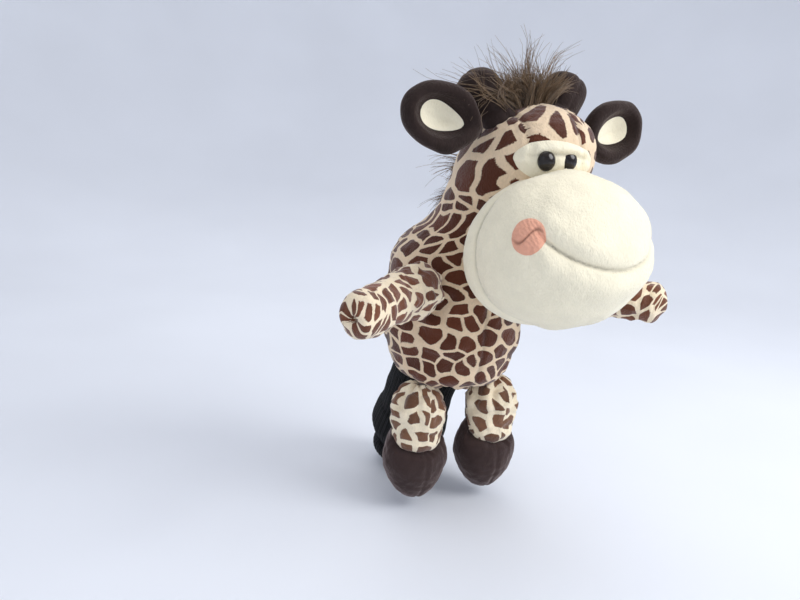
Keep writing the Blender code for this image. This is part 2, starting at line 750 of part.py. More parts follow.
def make_horns(neck):
    skull_space = cutter_from("skull_space", grown(head_form(), GAP), neck)
    middle = Vector((HEAD_OFFSET, crown_middle(), 0))
    for side, sign in SIDES:
        root = middle + HORN_ROOT + Vector((sign * HORN_SPREAD, 0, 0))
        direction = Vector((sign * HORN_DIRECTION.x, HORN_DIRECTION.y, HORN_DIRECTION.z))
        frame = joint_empty("horn_place_" + side, frame_along(root, direction, Vector((0, -1, 0))), neck)
        skin = loft(horn_rings(), LIMB_SEGMENTS)
        lowest = min(skin.faces, key=lambda face: face.calc_center_median().z)
        bmesh.ops.delete(skin, geom=[lowest], context="FACES")
        piece("horn_" + side, skin, DARK_BROWN, frame, CLOTH, (skull_space,))
        core = grown(loft(horn_rings(), LIMB_SEGMENTS), -STUFFING_INSET)
        piece("horn_stuffing_" + side, core, FIBRE, frame, cutters=(skull_space,))
    return skull_space


def make_mane(neck, skull_space):
    crown = crown_middle()
    behind = (Vector((0, crown + FORELOCK_DEPTH, HEAD_HEIGHT)), (0, -1, crown / HEAD_HEIGHT))
    foot = (Vector((0, 0, MANE_FOOT)), (0, 0, -1))

    def strip(width):
        half_width = width / 2
        return (
            (Vector((HEAD_OFFSET + half_width, 0, 0)), (1, 0, 0)),
            (Vector((HEAD_OFFSET - half_width, 0, 0)), (-1, 0, 0)),
        )

    tape = panel(grown(head_form(), GAP + MANE_TAPE), *strip(MANE_TAPE_WIDTH), behind, foot)
    piece("mane_tape", tape, HAIR, neck, MANE_TAPE)
    pile = panel(grown(head_form(), 2 * GAP + MANE_TAPE + MANE_DEPTH), *strip(MANE_WIDTH), behind, foot)
    piece("mane", pile, HAIR, neck, MANE_DEPTH)
    rings = [
        (
            HEAD_OFFSET,
            crown - 2 * GAP,
            HEAD_HEIGHT + share * FORELOCK_HEIGHT,
            a * FORELOCK_WIDTH / 2,
            b * FORELOCK_DEPTH / 2 - GAP,
        )
        for share, a, b in FORELOCK_SHAPE
    ]
    piece("forelock", loft(rings, LIMB_SEGMENTS), HAIR, neck, cutters=(skull_space,))


# Limbs


def arm_rings():
    """The arm along its Z, from the shoulder ball to the rounded hand."""
    rings = [(0, 0, height, radius, radius) for radius, height in arc(ARM_BALL, -ROUND_END, 0, 4)]
    middle = (ARM_BALL + HAND_RADIUS) / 2
    rings.append((0, 0, ARM_REACH / 2, middle, middle))
    hand = arc(HAND_RADIUS, 0, ROUND_END, 4)
    rings += [(0, 0, ARM_REACH + height, radius, radius) for radius, height in hand]
    return rings


def stuffed_limb(name, frame, rings, skin_start, skin_end, colour, cutters=()):
    """A cloth tube over its stuffing. The stuffing is bare where it sits in its sockets."""
    planes = [(Vector((0, 0, skin_start)), (0, 0, -1))]
    if skin_end is None:
        skin = loft(rings, LIMB_SEGMENTS)
    else:
        planes.append((Vector((0, 0, skin_end)), (0, 0, 1)))
        skin = opened(loft(rings, LIMB_SEGMENTS))
    piece(name + "_skin", panel(skin, *planes), colour, frame, CLOTH, cutters)
    core = grown(loft(rings, LIMB_SEGMENTS), -STUFFING_INSET)
    piece(name + "_stuffing", core, FIBRE, frame, cutters=cutters)


def make_arms(places):
    for side, frame in places.items():
        stuffed_limb("arm_" + side, frame, arm_rings(), ARM_SKIN_START, None, SPOTTED)


def leg_rings():
    """The leg along its Z, which points down, from the hip ball to the rounded end inside the hoof."""
    rings = [(0, 0, height, radius, radius) for radius, height in arc(LEG_BALL, -ROUND_END, 0, 4)]
    foot = arc(LEG_FOOT_RADIUS, 0, ROUND_END, 4)
    rings += [(0, 0, LEG_DROP + height, radius, radius) for radius, height in foot]
    return rings


def make_legs(places):
    for side, frame in places.items():
        stuffed_limb("leg_" + side, frame, leg_rings(), LEG_SKIN_START, LEG_DROP + LEG_HEM, SPOTTED)


def make_hooves(places):
    for side, frame in places.items():
        sign = dict(SIDES)[side]
        centre = Vector((-sign * HOOF_INWARD, HOOF_BACK, -HOOF_DROP))
        ankle = socket("ankle_socket_" + side, LEG_FOOT_RADIUS, LIMB_SEGMENTS, parent=frame)
        skin = ellipsoid(HOOF_SIZE, centre, LIMB_SEGMENTS + 4)
        top = (centre + Vector((0, 0, HOOF_SIZE.z - HOOF_TRIM)), (0, 0, 1))
        piece("hoof_skin_" + side, panel(skin, top), HOOF_BROWN, frame, CLOTH, (ankle,))
        core = grown(ellipsoid(HOOF_SIZE, centre, LIMB_SEGMENTS + 4), -STUFFING_INSET)
        piece("hoof_stuffing_" + side, core, FIBRE, frame, cutters=(ankle,))


# Places and sockets


def sleeve_passage(sleeve):
    """The space that the sleeve takes through the body and its pocket."""
    radius = SLEEVE_RADIUS + 2 * GAP
    reach = SLEEVE_TUCK + PASSAGE_REACH
    bm = bmesh.new()
    bmesh.ops.create_cone(
        bm, cap_ends=True, segments=TORSO_SEGMENTS, radius1=radius, radius2=radius, depth=2 * reach
    )
    return cutter_from("sleeve_passage", bm, sleeve)


def arm_place(side, sign):
    level = math.cos(ARM_DROOP)
    out = Vector((sign * math.cos(ARM_FORWARD) * level, -math.sin(ARM_FORWARD) * level, -math.sin(ARM_DROOP)))
    return joint_empty("shoulder_joint_" + side, frame_along(shoulder(sign), out, Vector((0, -1, 0))))


def ear_place(side, sign, neck):
    out = Vector((sign * math.cos(EAR_LIFT), EAR_BACKWARD, math.sin(EAR_LIFT)))
    return joint_empty("ear_joint_" + side, frame_along(ear_root(sign), out, Vector((0, -1, 0))), neck)


def main():
    clear_scene()
    head_turn = Matrix.Rotation(HEAD_ROLL, 4, "Y") @ Matrix.Rotation(HEAD_YAW, 4, "Z")
    neck = joint_empty("neck_joint", Matrix.Translation(NECK_PIVOT) @ head_turn)
    sleeve = joint_empty("sleeve_axis", sleeve_frame())
    downward = Matrix.Rotation(math.pi, 4, "X")
    cutters = {
        "neck_socket": socket("neck_socket", NECK_BALL, HEAD_SEGMENTS, NECK_PIVOT),
        "sleeve_passage": sleeve_passage(sleeve),
    }
    arms = {}
    legs = {}
    hooves = {}
    ears = {}
    ear_sockets = {}
    for side, sign in SIDES:
        arms[side] = arm_place(side, sign)
        legs[side] = joint_empty("hip_joint_" + side, Matrix.Translation(hip(sign)) @ downward)
        ankle = Matrix.Translation((0, 0, LEG_DROP)) @ downward
        hooves[side] = joint_empty("ankle_joint_" + side, ankle, legs[side])
        ears[side] = ear_place(side, sign, neck)
        for name, radius, centre in (("shoulder", ARM_BALL, shoulder(sign)), ("hip", LEG_BALL, hip(sign))):
            name += "_socket_" + side
            cutters[name] = socket(name, radius, LIMB_SEGMENTS, centre)
        ear_sockets[side] = socket("ear_socket_" + side, EAR_BALL, LIMB_SEGMENTS, parent=ears[side])
    make_body(cutters)
    make_pocket(cutters)
    make_sleeve(sleeve)
    eye_places = make_face_cutters(neck)
    make_head(neck, ear_sockets, eye_places)
    make_muzzle(neck, eye_places)
    make_eyes(eye_places)
    make_mane(neck, make_horns(neck))
    make_ears(ears)
    make_arms(arms)
    make_legs(legs)
    make_hooves(hooves)


main()
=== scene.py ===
"""A plush giraffe head cover for a golf driver: the finish of every piece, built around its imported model.

Frame: metres, +Z up, +X the giraffe's left, -Y the way it faces, and the origin in the middle of the crown
seat in the roof of the body's pocket. Outlines are written in millimetres and multiplied by MM.
"""

import json
import math
import random

import bmesh
import bpy
from bpy.props import FloatProperty, FloatVectorProperty, IntProperty, PointerProperty
from mathutils import Matrix, Vector, noise
from mathutils.bvhtree import BVHTree


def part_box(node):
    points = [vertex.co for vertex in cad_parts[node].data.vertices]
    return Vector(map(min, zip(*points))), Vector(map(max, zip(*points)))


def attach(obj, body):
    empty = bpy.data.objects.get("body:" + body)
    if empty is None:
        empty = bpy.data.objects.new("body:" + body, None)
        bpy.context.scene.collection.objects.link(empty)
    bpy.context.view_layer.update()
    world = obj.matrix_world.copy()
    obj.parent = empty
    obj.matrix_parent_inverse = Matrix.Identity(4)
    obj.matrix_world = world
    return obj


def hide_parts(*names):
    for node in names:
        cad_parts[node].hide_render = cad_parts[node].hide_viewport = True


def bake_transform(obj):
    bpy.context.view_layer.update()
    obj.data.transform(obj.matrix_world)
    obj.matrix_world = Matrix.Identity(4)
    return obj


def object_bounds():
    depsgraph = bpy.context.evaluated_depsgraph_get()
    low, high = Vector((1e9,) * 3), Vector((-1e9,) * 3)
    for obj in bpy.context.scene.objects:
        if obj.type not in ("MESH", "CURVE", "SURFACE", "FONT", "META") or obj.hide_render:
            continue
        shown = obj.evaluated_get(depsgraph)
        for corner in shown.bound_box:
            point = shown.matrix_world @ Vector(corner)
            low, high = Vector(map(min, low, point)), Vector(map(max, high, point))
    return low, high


bl_info = {
    "name": "Plush driver head cover",
    "version": (1, 0, 0),
    "blender": (4, 5, 0),
    "location": "View3D > Sidebar > Head Cover",
    "description": "Builds the finish of a plush giraffe head cover around its packed model",
    "category": "Object",
}

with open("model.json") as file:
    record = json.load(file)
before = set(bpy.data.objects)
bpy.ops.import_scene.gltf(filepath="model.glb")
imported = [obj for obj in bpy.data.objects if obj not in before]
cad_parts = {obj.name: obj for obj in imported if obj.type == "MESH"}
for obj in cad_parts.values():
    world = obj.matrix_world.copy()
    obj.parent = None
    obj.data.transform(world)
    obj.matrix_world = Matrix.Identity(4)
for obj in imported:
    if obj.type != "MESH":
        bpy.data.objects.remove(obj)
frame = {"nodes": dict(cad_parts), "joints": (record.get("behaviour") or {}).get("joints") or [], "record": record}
CAD_BOX = [list(corner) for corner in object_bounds()]
JOINTS = {joint["name"]: joint for joint in frame["joints"]}
MOUNTS = {mount["name"]: mount for mount in frame["record"]["mounts"]}
BOXES = {name: tuple(Vector(corner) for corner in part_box(name)) for name in frame["nodes"]}

MM = 0.001
SIDES = (("left", 1), ("right", -1))
HAIR_BEND = 165 * MM
HAIR_RISE = 36 * MM
SMILE_TURN = math.radians(13)
CHEEK_SIDE = math.radians(63)
CHEEK_RISE = math.radians(17)
HEAD_TURN = Matrix.Rotation(math.radians(-3), 3, "Y") @ Matrix.Rotation(math.radians(-4), 3, "Z")
NECK = Vector(JOINTS["neck_nod"]["pos_m"])
NECK_BEND = (Vector((18, -14, 22)) * MM, Vector((18, -20, 74)) * MM)

# Body, neck and skull: (height, sideways, forward, half width, half depth) in millimetres
TRUNK = (
    (-111, 0, -6, 4, 4),
    (-109, 0, -6, 20, 18),
    (-104, 0, -5, 37, 33),
    (-96, 0, -4, 49, 45),
    (-84, 0, -2, 55, 51),
    (-64, 0, 0, 61, 59),
    (-44, 0, 2, 62, 62),
    (-24, 0, 3, 60, 63),
    (-4, 2, 6, 58, 64),
    (11, 4, 6, 56, 60),
    (24, 8, -1, 51, 56),
    (36, 12, -16, 46, 52),
    (48, 16, -27, 46, 51),
    (61, 20, -38, 50, 54),
    (76, 24, -46, 53, 56),
    (91, 26, -52, 53, 57),
    (106, 27, -58, 49, 51),
    (118, 27, -62, 41, 43),
    (127, 27, -64, 29, 31),
    (133, 27, -65, 17, 18),
    (136, 27, -65, 4, 4),
)

# Arm and leg along their own Z from the joint: (height, sideways, forward, half width, half depth)
ARM = (
    (-16, 0, 0, 8, 8),
    (-12, 0, 0, 15, 15),
    (0, 0, 0, 21, 21),
    (18, 0, 0, 21.5, 21),
    (38, 0, 1, 19, 18.5),
    (60, 0, 0, 18, 18),
    (80, 0, 0, 18, 18),
    (94, 0, 0, 16, 16),
    (101, 0, 0, 11, 11),
    (104, 0, 0, 3, 3),
)
LEG = (
    (-18, 0, 0, 8, 8),
    (-12, 0, 0, 17, 17),
    (0, 0, 0, 24, 23),
    (12, 0, 0, 24, 23),
    (24, 0, 0, 22, 21.5),
    (34, 0, 0, 20, 19.5),
    (40, 0, 0, 15, 14.5),
    (43, 0, 0, 4, 4),
)
HORN = (
    (-10, 0, 0, 12, 12),
    (0, 0, 0, 14, 13.5),
    (8, 0, 0, 14.5, 14),
    (16, 0, 0, 16.5, 16),
    (26, 0, 0, 18.5, 18),
    (34, 0, 0, 17.5, 17),
    (40, 0, 0, 12.5, 12),
    (43, 0, 0, 6, 6),
    (44, 0, 0, 1.5, 1.5),
)
SLEEVE = ((-137, 32.6), (-60, 33), (-46, 35.5), (-32, 37), (-22, 35.5), (-12, 28), (-6, 24.4), (7, 24.2))
HEM = ((-6, 25.4), (-3, 27.4), (2, 28.2), (6, 27.2), (8.2, 25.6))


# Node groups and materials


def node(tree, kind, inputs=None, **settings):
    """A node with its settings, and its inputs set to values or linked from sockets."""
    made = tree.nodes.new(kind)
    for name, value in settings.items():
        setattr(made, name, value)
    for key, value in (inputs or {}).items():
        if isinstance(value, bpy.types.NodeSocket):
            tree.links.new(value, made.inputs[key])
        else:
            made.inputs[key].default_value = value
    return made


def maths(tree, operation, *values):
    return node(tree, "ShaderNodeMath", dict(enumerate(values)), operation=operation).outputs[0]


def scaled(tree, vector, factor):
    inputs = {0: vector, "Scale": factor}
    return node(tree, "ShaderNodeVectorMath", inputs, operation="SCALE").outputs[0]


def ramped(tree, value, low, high, bottom=0.0, top=1.0, smooth=False):
    """A value carried from the range low to high onto the range bottom to top."""
    inputs = {"Value": value, "From Min": low, "From Max": high, "To Min": bottom, "To Max": top}
    kind = "SMOOTHSTEP" if smooth else "LINEAR"
    return node(tree, "ShaderNodeMapRange", inputs, interpolation_type=kind).outputs["Result"]


def noise_of(tree, vector, scale, detail=2.0, output="Fac"):
    inputs = {"Vector": vector, "Scale": scale, "Detail": detail}
    return node(tree, "ShaderNodeTexNoise", inputs).outputs[output]


def mixed(tree, factor, first, second, blend="MIX"):
    made = node(tree, "ShaderNodeMix", {0: factor, 6: first, 7: second}, data_type="RGBA", blend_type=blend)
    return made.outputs[2]


def grey(tree, value):
    return node(tree, "ShaderNodeCombineColor", {0: value, 1: value, 2: value}).outputs[0]


def new_group(name, inputs, outputs):
    """A shader group with its sockets, given as (name, type, default), and its input and output nodes."""
    tree = bpy.data.node_groups.new(name, "ShaderNodeTree")
    for label, kind, default in inputs:
        made = tree.interface.new_socket(name=label, in_out="INPUT", socket_type=kind)
        if default is not None:
            made.default_value = default
    for label, kind in outputs:
        tree.interface.new_socket(name=label, in_out="OUTPUT", socket_type=kind)
    entry = tree.nodes.new("NodeGroupInput").outputs
    return tree, entry, tree.nodes.new("NodeGroupOutput").inputs


def patches_group():
    """Giraffe patches: rounded irregular cells on a paler ground, with soft furry edges."""
    colour = "NodeSocketColor"
    number = "NodeSocketFloat"
    tree, given, out = new_group(
        "Giraffe patches",
        [
            ("Place", "NodeSocketVector", None),
            ("Cell", number, 0.017),
            ("Gap", number, 0.08),
            ("Spread", number, 0.0),
            ("Ground", colour, (0.8, 0.7, 0.55, 1)),
            ("Patch", colour, (0.12, 0.04, 0.02, 1)),
        ],
        [("Colour", colour), ("Mask", number)],
    )
    cells = scaled(tree, given["Place"], maths(tree, "DIVIDE", 1.0, given["Cell"]))
    drift = noise_of(tree, cells, 0.8, 1.0, "Color")
    drift = node(tree, "ShaderNodeVectorMath", {0: drift, 1: (0.5, 0.5, 0.5)}, operation="SUBTRACT").outputs[0]
    drift = scaled(tree, drift, 0.75)
    cells = node(tree, "ShaderNodeVectorMath", {0: cells, 1: drift}, operation="ADD").outputs[0]
    inputs = {"Vector": cells, "Scale": 1.0, "Randomness": 0.92}
    flat = {"voronoi_dimensions": "2D"}
    edge = node(tree, "ShaderNodeTexVoronoi", inputs, feature="DISTANCE_TO_EDGE", **flat).outputs["Distance"]
    cell = node(tree, "ShaderNodeTexVoronoi", inputs, feature="F1", **flat)
    chance = node(tree, "ShaderNodeSeparateColor", {0: cell.outputs["Color"]})
    fuzz = maths(tree, "MULTIPLY_ADD", noise_of(tree, given["Place"], 1300.0), 0.10, -0.05)
    corner = maths(tree, "MAXIMUM", maths(tree, "SUBTRACT", cell.outputs["Distance"], 0.46), 0.0)
    level = maths(tree, "MULTIPLY_ADD", corner, -0.45, edge)
    level = maths(tree, "ADD", level, fuzz)
    limit = maths(tree, "MULTIPLY_ADD", given["Spread"], 0.05, given["Gap"])
    limit = maths(tree, "MULTIPLY_ADD", chance.outputs[0], 0.05, limit)
    mask = ramped(tree, maths(tree, "SUBTRACT", level, limit), -0.02, 0.02, smooth=True)
    kept = maths(tree, "GREATER_THAN", chance.outputs[1], maths(tree, "MULTIPLY", given["Spread"], 0.04))
    mask = maths(tree, "MULTIPLY", mask, kept)
    shade = ramped(tree, chance.outputs[2], 0.0, 1.0, 0.78, 1.25)
    patch = mixed(tree, 1.0, given["Patch"], grey(tree, shade), "MULTIPLY")
    tree.links.new(mixed(tree, mask, given["Ground"], patch), out["Colour"])
    tree.links.new(mask, out["Mask"])
    return tree


def pile_group():
    """Short pile: painted shade and highlight on the fibre clumps, and broad areas of painted sheen where the pile
    lies the other way.
    """
    colour = "NodeSocketColor"
    number = "NodeSocketFloat"
    tree, given, out = new_group(
        "Short pile",
        [
            ("Place", "NodeSocketVector", None),
            ("Colour", colour, (0.8, 0.7, 0.55, 1)),
            ("Clump", number, 0.0012),
            ("Contrast", number, 0.16),
            ("Nap sheen", number, 0.10),
        ],
        [("Colour", colour), ("Height", number)],
    )
    lay = node(tree, "ShaderNodeVectorMath", {0: given["Place"], 1: (1.0, 1.0, 0.55)}, operation="MULTIPLY")
    fibre = noise_of(tree, lay.outputs[0], maths(tree, "DIVIDE", 1.0, given["Clump"]), 3.0)
    nap = noise_of(tree, given["Place"], 55.0, 3.0)
    # Painted shade and highlight on the fibre clumps, and painted sheen over the broad areas, multiplied into the
    # colour.
    light = maths(tree, "MULTIPLY_ADD", maths(tree, "SUBTRACT", fibre, 0.5), given["Contrast"], 1.0)
    sweep = maths(tree, "MULTIPLY", maths(tree, "SUBTRACT", nap, 0.5), given["Nap sheen"])
    light = maths(tree, "ADD", light, maths(tree, "MULTIPLY", sweep, 2.0))
    tree.links.new(mixed(tree, 1.0, given["Colour"], grey(tree, light), "MULTIPLY"), out["Colour"])
    tree.links.new(maths(tree, "MULTIPLY_ADD", nap, 1.6, fibre), out["Height"])
    return tree


def knit_group():
    """Rib knit: columns of V stitches. Place is (around, along) in metres."""
    number = "NodeSocketFloat"
    tree, given, out = new_group(
        "Rib knit",
        [("Place", "NodeSocketVector", None), ("Stitch", number, 0.0022)],
        [("Height", number), ("Thread", number)],
    )
    grid = scaled(tree, given["Place"], maths(tree, "DIVIDE", 1.0, given["Stitch"]))
    axes = node(tree, "ShaderNodeSeparateXYZ", {0: grid})
    side = maths(tree, "ABSOLUTE", maths(tree, "SUBTRACT", maths(tree, "FRACT", axes.outputs[0]), 0.5))
    column = maths(tree, "SINE", maths(tree, "MULTIPLY", side, math.pi))
    row = maths(tree, "MULTIPLY_ADD", axes.outputs[1], 1.3, side)
    row = maths(tree, "ABSOLUTE", maths(tree, "SINE", maths(tree, "MULTIPLY", row, math.pi)))
    thread = maths(tree, "MULTIPLY", maths(tree, "POWER", row, 0.6), column)
    fluff = noise_of(tree, given["Place"], 1800.0)
    tree.links.new(maths(tree, "MULTIPLY_ADD", fluff, 0.3, thread), out["Height"])
    tree.links.new(thread, out["Thread"])
    return tree


def group_node(tree, builder, name, inputs):
    """Places a shader group in a material, and builds it the first time."""
    group = bpy.data.node_groups.get(name) or builder()
    made = tree.nodes.new("ShaderNodeGroup")
    made.node_tree = group
    for key, value in inputs.items():
        if isinstance(value, bpy.types.NodeSocket):
            tree.links.new(value, made.inputs[key])
        else:
            made.inputs[key].default_value = value
    return made.outputs


def start_material(name, roughness, **sockets):
    """A material with its Principled BSDF, whose even values are set on its own sockets."""
    made = bpy.data.materials.new(name)
    made.use_nodes = True
    shader = made.node_tree.nodes["Principled BSDF"]
    shader.inputs["Roughness"].default_value = roughness
    for label, value in sockets.items():
        shader.inputs[label.replace("_", " ")].default_value = value
    return made, made.node_tree, shader


def bumped(tree, shader, height, distance, strength=1.0):
    bump = node(tree, "ShaderNodeBump", {"Height": height, "Distance": distance, "Strength": strength})
    tree.links.new(bump.outputs["Normal"], shader.inputs["Normal"])


def rgba(colour):
    return (*colour, 1.0)


def plush(name, colour, clump=0.0012, contrast=0.16, nap_sheen=0.10, sheen=0.5, depth=0.0007, tint=(1, 1, 1)):
    """A plain short pile cloth."""
    made, tree, shader = start_material(
        name, 0.92, Sheen_Weight=sheen, Sheen_Roughness=0.45, Sheen_Tint=rgba(tint), Specular_IOR_Level=0.15
    )
    place = node(tree, "ShaderNodeTexCoord").outputs["Object"]
    inputs = {"Place": place, "Colour": rgba(colour), "Clump": clump, "Contrast": contrast, "Nap sheen": nap_sheen}
    pile = group_node(tree, pile_group, "Short pile", inputs)
    tree.links.new(seam_shade(tree, pile["Colour"]), shader.inputs["Base Color"])
    bumped(tree, shader, pile["Height"], depth)
    return made


def seam_shade(tree, colour):
    """A colour with painted shade in the seams and creases that the piece's seam attribute marks."""
    seam = node(tree, "ShaderNodeAttribute", attribute_name="seam").outputs["Fac"]
    shade = ramped(tree, seam, 0.0, 1.0, 1.0, 0.5)
    return mixed(tree, 1.0, colour, grey(tree, shade), "MULTIPLY")


def spotted(name, ground, patch, cell, gap):
    """Short pile printed with giraffe patches, which follow the cloth's own place attribute."""
    made, tree, shader = start_material(
        name, 0.92, Sheen_Weight=0.35, Sheen_Roughness=0.5, Specular_IOR_Level=0.15
    )
    place = node(tree, "ShaderNodeAttribute", attribute_name="cloth_place").outputs["Vector"]
    spread = node(tree, "ShaderNodeAttribute", attribute_name="spread").outputs["Fac"]
    inputs = {
        "Place": place, "Cell": cell, "Gap": gap, "Spread": spread, "Ground": rgba(ground), "Patch": rgba(patch)
    }
    patches = group_node(tree, patches_group, "Giraffe patches", inputs)
    solid = node(tree, "ShaderNodeTexCoord").outputs["Object"]
    # The pile paints shade, highlight and sheen over the print.
    inputs = {"Place": solid, "Colour": patches["Colour"], "Contrast": 0.3, "Nap sheen": 0.14}
    pile = group_node(tree, pile_group, "Short pile", inputs)
    tree.links.new(seam_shade(tree, pile["Colour"]), shader.inputs["Base Color"])
    bumped(tree, shader, maths(tree, "MULTIPLY_ADD", patches["Mask"], 0.25, pile["Height"]), 0.0007)
    return made


def hair_material(name, colour):
    """Long loose pile: each strand has its own shade, and pales towards its tip."""
    made, tree, shader = start_material(name, 0.5, Sheen_Weight=0.2, Specular_IOR_Level=0.3)
    own = node(tree, "ShaderNodeAttribute", attribute_name="strand").outputs["Fac"]
    along = node(tree, "ShaderNodeAttribute", attribute_name="along").outputs["Fac"]
    shade = maths(tree, "MULTIPLY", ramped(tree, own, 0, 1, 0.55, 1.5), ramped(tree, along, 0, 1, 0.7, 1.35))
    coloured = mixed(tree, 1.0, rgba(colour), grey(tree, shade), "MULTIPLY")
    tree.links.new(coloured, shader.inputs["Base Color"])
    return made


def knit_material(name, colour):
    made, tree, shader = start_material(name, 0.9, Sheen_Weight=0.06, Sheen_Roughness=0.4, Specular_IOR_Level=0.2)
    place = node(tree, "ShaderNodeAttribute", attribute_name="cloth_place").outputs["Vector"]
    knit = group_node(tree, knit_group, "Rib knit", {"Place": place})
    light = ramped(tree, knit["Thread"], 0, 1, 0.45, 1.5)
    tree.links.new(mixed(tree, 1.0, rgba(colour), grey(tree, light), "MULTIPLY"), shader.inputs["Base Color"])
    bumped(tree, shader, knit["Height"], 0.0008)
    return made


def woven_material(name, colour, scale, roughness=0.85):
    """A close weave or a felt for the pieces inside, on the piece's object coordinates."""
    made, tree, shader = start_material(name, roughness)
    place = node(tree, "ShaderNodeTexCoord").outputs["Object"]
    warp = node(tree, "ShaderNodeTexWave", {"Vector": place, "Scale": scale, "Distortion": 1.0}).outputs["Fac"]
    weft = node(
        tree, "ShaderNodeTexWave", {"Vector": place, "Scale": scale, "Distortion": 1.0}, bands_direction="Z"
    ).outputs["Fac"]
    weave = maths(tree, "MULTIPLY", warp, weft)
    light = ramped(tree, weave, 0, 1, 0.7, 1.25)
    tree.links.new(mixed(tree, 1.0, rgba(colour), grey(tree, light), "MULTIPLY"), shader.inputs["Base Color"])
    bumped(tree, shader, weave, 0.0003)
    return made


def eye_material():
    """Polished black plastic with faint handling marks in its gloss."""
    made, tree, shader = start_material("polished black", 0.1, Coat_Weight=0.25, Coat_Roughness=0.04, Specular_IOR_Level=0.3)
    place = node(tree, "ShaderNodeTexCoord").outputs["Object"]
    marks = noise_of(tree, place, 320.0, 4.0)
    tree.links.new(ramped(tree, marks, 0.35, 0.8, 0.06, 0.22), shader.inputs["Roughness"])
    deep = mixed(tree, marks, (0.006, 0.004, 0.004, 1), (0.016, 0.010, 0.008, 1))
    tree.links.new(deep, shader.inputs["Base Color"])
    return made


def stage_material(colour):
    made, tree, shader = start_material("stage", 0.95, Specular_IOR_Level=0.05)
    place = node(tree, "ShaderNodeTexCoord").outputs["Object"]
    grain = ramped(tree, noise_of(tree, place, 3.0), 0.3, 0.7, 0.97, 1.02)
    tree.links.new(mixed(tree, 1.0, rgba(colour), grey(tree, grain), "MULTIPLY"), shader.inputs["Base Color"])
    return made


# Shapes


def object_from(name, bm, material):
    """A smooth shaded object at the origin, with its place in its mesh."""
    mesh = bpy.data.meshes.new(name)
    bm.to_mesh(mesh)
    bm.free()
    mesh.shade_smooth()
    mesh.materials.append(material)
    obj = bpy.data.objects.new(name, mesh)
    bpy.context.scene.collection.objects.link(obj)
    return obj


def smooth_rings(rings, step):
    """Rings about a step apart on a smooth curve through the given ones. A ring is (height, x, y, a, b)."""
    keys = [Vector(ring) * MM for ring in rings]
    keys = [keys[0], *keys, keys[-1]]
    made = []
    for before, start, end, after in zip(keys, keys[1:], keys[2:], keys[3:]):
        reach = max((end - start).length, 1e-9)
        count = max(1, round(reach / step))
        for turn in range(count):
            t = turn / count
            made.append(
                (2 * start + (end - before) * t + (2 * before - 5 * start + 4 * end - after) * t**2
                 + (3 * start - before - 3 * end + after) * t**3) / 2
            )
    made.append(keys[-1])
    return made


def loft(rings, segments, step):
    """A closed surface through a stack of rings, from the lowest to the highest."""
    bm = bmesh.new()
    rings = smooth_rings(rings, step)
    rim = bmesh.ops.create_circle(bm, cap_ends=True, radius=1.0, segments=segments)["verts"]
    edges = bm.edges[:]
    place_ring(rim, rings[0])
    for ring in rings[1:]:
        flat = ring_matrix(ring)
        made = bmesh.ops.extrude_edge_only(bm, edges=edges)["geom"]
        fresh = [item for item in made if isinstance(item, bmesh.types.BMVert)]
        edges = [item for item in made if isinstance(item, bmesh.types.BMEdge) and set(item.verts) <= set(fresh)]
        bmesh.ops.transform(bm, matrix=flat @ place_ring.last.inverted(), verts=fresh)
        place_ring.last = flat
    bmesh.ops.holes_fill(bm, edges=edges, sides=segments)
    caps = [face for face in bm.faces if len(face.verts) > 4]
    bmesh.ops.poke(bm, faces=caps)
    bmesh.ops.recalc_face_normals(bm, faces=bm.faces[:])
    return bm


def ring_matrix(ring):
    height, x, y, a, b = ring
    return Matrix.Translation((x, y, height)) @ Matrix.Diagonal((max(a, 1e-4), max(b, 1e-4), 1.0, 1.0))


def place_ring(verts, ring):
    """Carries a unit circle onto a ring, and remembers where it lies."""
    flat = ring_matrix(ring)
    for vert in verts:
        vert.co = flat @ vert.co
    place_ring.last = flat


def ball(size, centre, detail=48, turn=None):
    """An ellipsoid with the given half sizes."""
    bm = bmesh.new()
    bmesh.ops.create_uvsphere(bm, u_segments=detail * 2, v_segments=detail, radius=1.0)
    bmesh.ops.scale(bm, verts=bm.verts[:], vec=size)
    if turn is not None:
        bmesh.ops.rotate(bm, verts=bm.verts[:], cent=(0, 0, 0), matrix=turn)
    bmesh.ops.translate(bm, verts=bm.verts[:], vec=centre)
    return bm


def moved(obj, change):
    """Moves every point of a piece by change(place, normal)."""
    mesh = obj.data
    normals = [vert.normal.copy() for vert in mesh.vertices]
    for vert, normal in zip(mesh.vertices, normals):
        vert.co = vert.co + change(vert.co.copy(), normal)
    mesh.update()


def bell(value, width):
    return math.exp(-((value / width) ** 2))


def crumple(place, size, seed):
    """Soft cloth unevenness from -1 to 1."""
    return noise.noise(place / size + Vector((seed, 2.7 * seed, -seed)))


def ridged(place, size, seed):
    """Narrow creases between soft swells, from 0 to 1."""
    return 1.0 - abs(noise.noise(place / size + Vector((seed, -1.3 * seed, seed))) * 2.0)


def marked(obj, name, values, kind="FLOAT"):
    """Stores one value for each point of a piece."""
    attribute = obj.data.attributes.new(name, kind, "POINT")
    key = "vector" if kind == "FLOAT_VECTOR" else "value"
    flat = [number for value in values for number in value] if kind == "FLOAT_VECTOR" else list(values)
    attribute.data.foreach_set(key, flat)


def printed(obj, chart):
    """Stores each corner's place on the printed cloth. chart(place, middle) reads the panel off a face's middle."""
    mesh = obj.data
    attribute = mesh.attributes.new("cloth_place", "FLOAT_VECTOR", "CORNER")
    flat = [0.0] * (3 * len(mesh.loops))
    for face in mesh.polygons:
        for loop in face.loop_indices:
            place = mesh.vertices[mesh.loops[loop].vertex_index].co
            flat[3 * loop : 3 * loop + 2] = chart(place, face.center)
    attribute.data.foreach_set("vector", flat)


def angle_near(angle, other):
    """The angle, turned by whole turns to lie nearest the other."""
    return angle + 2 * math.pi * round((other - angle) / (2 * math.pi))


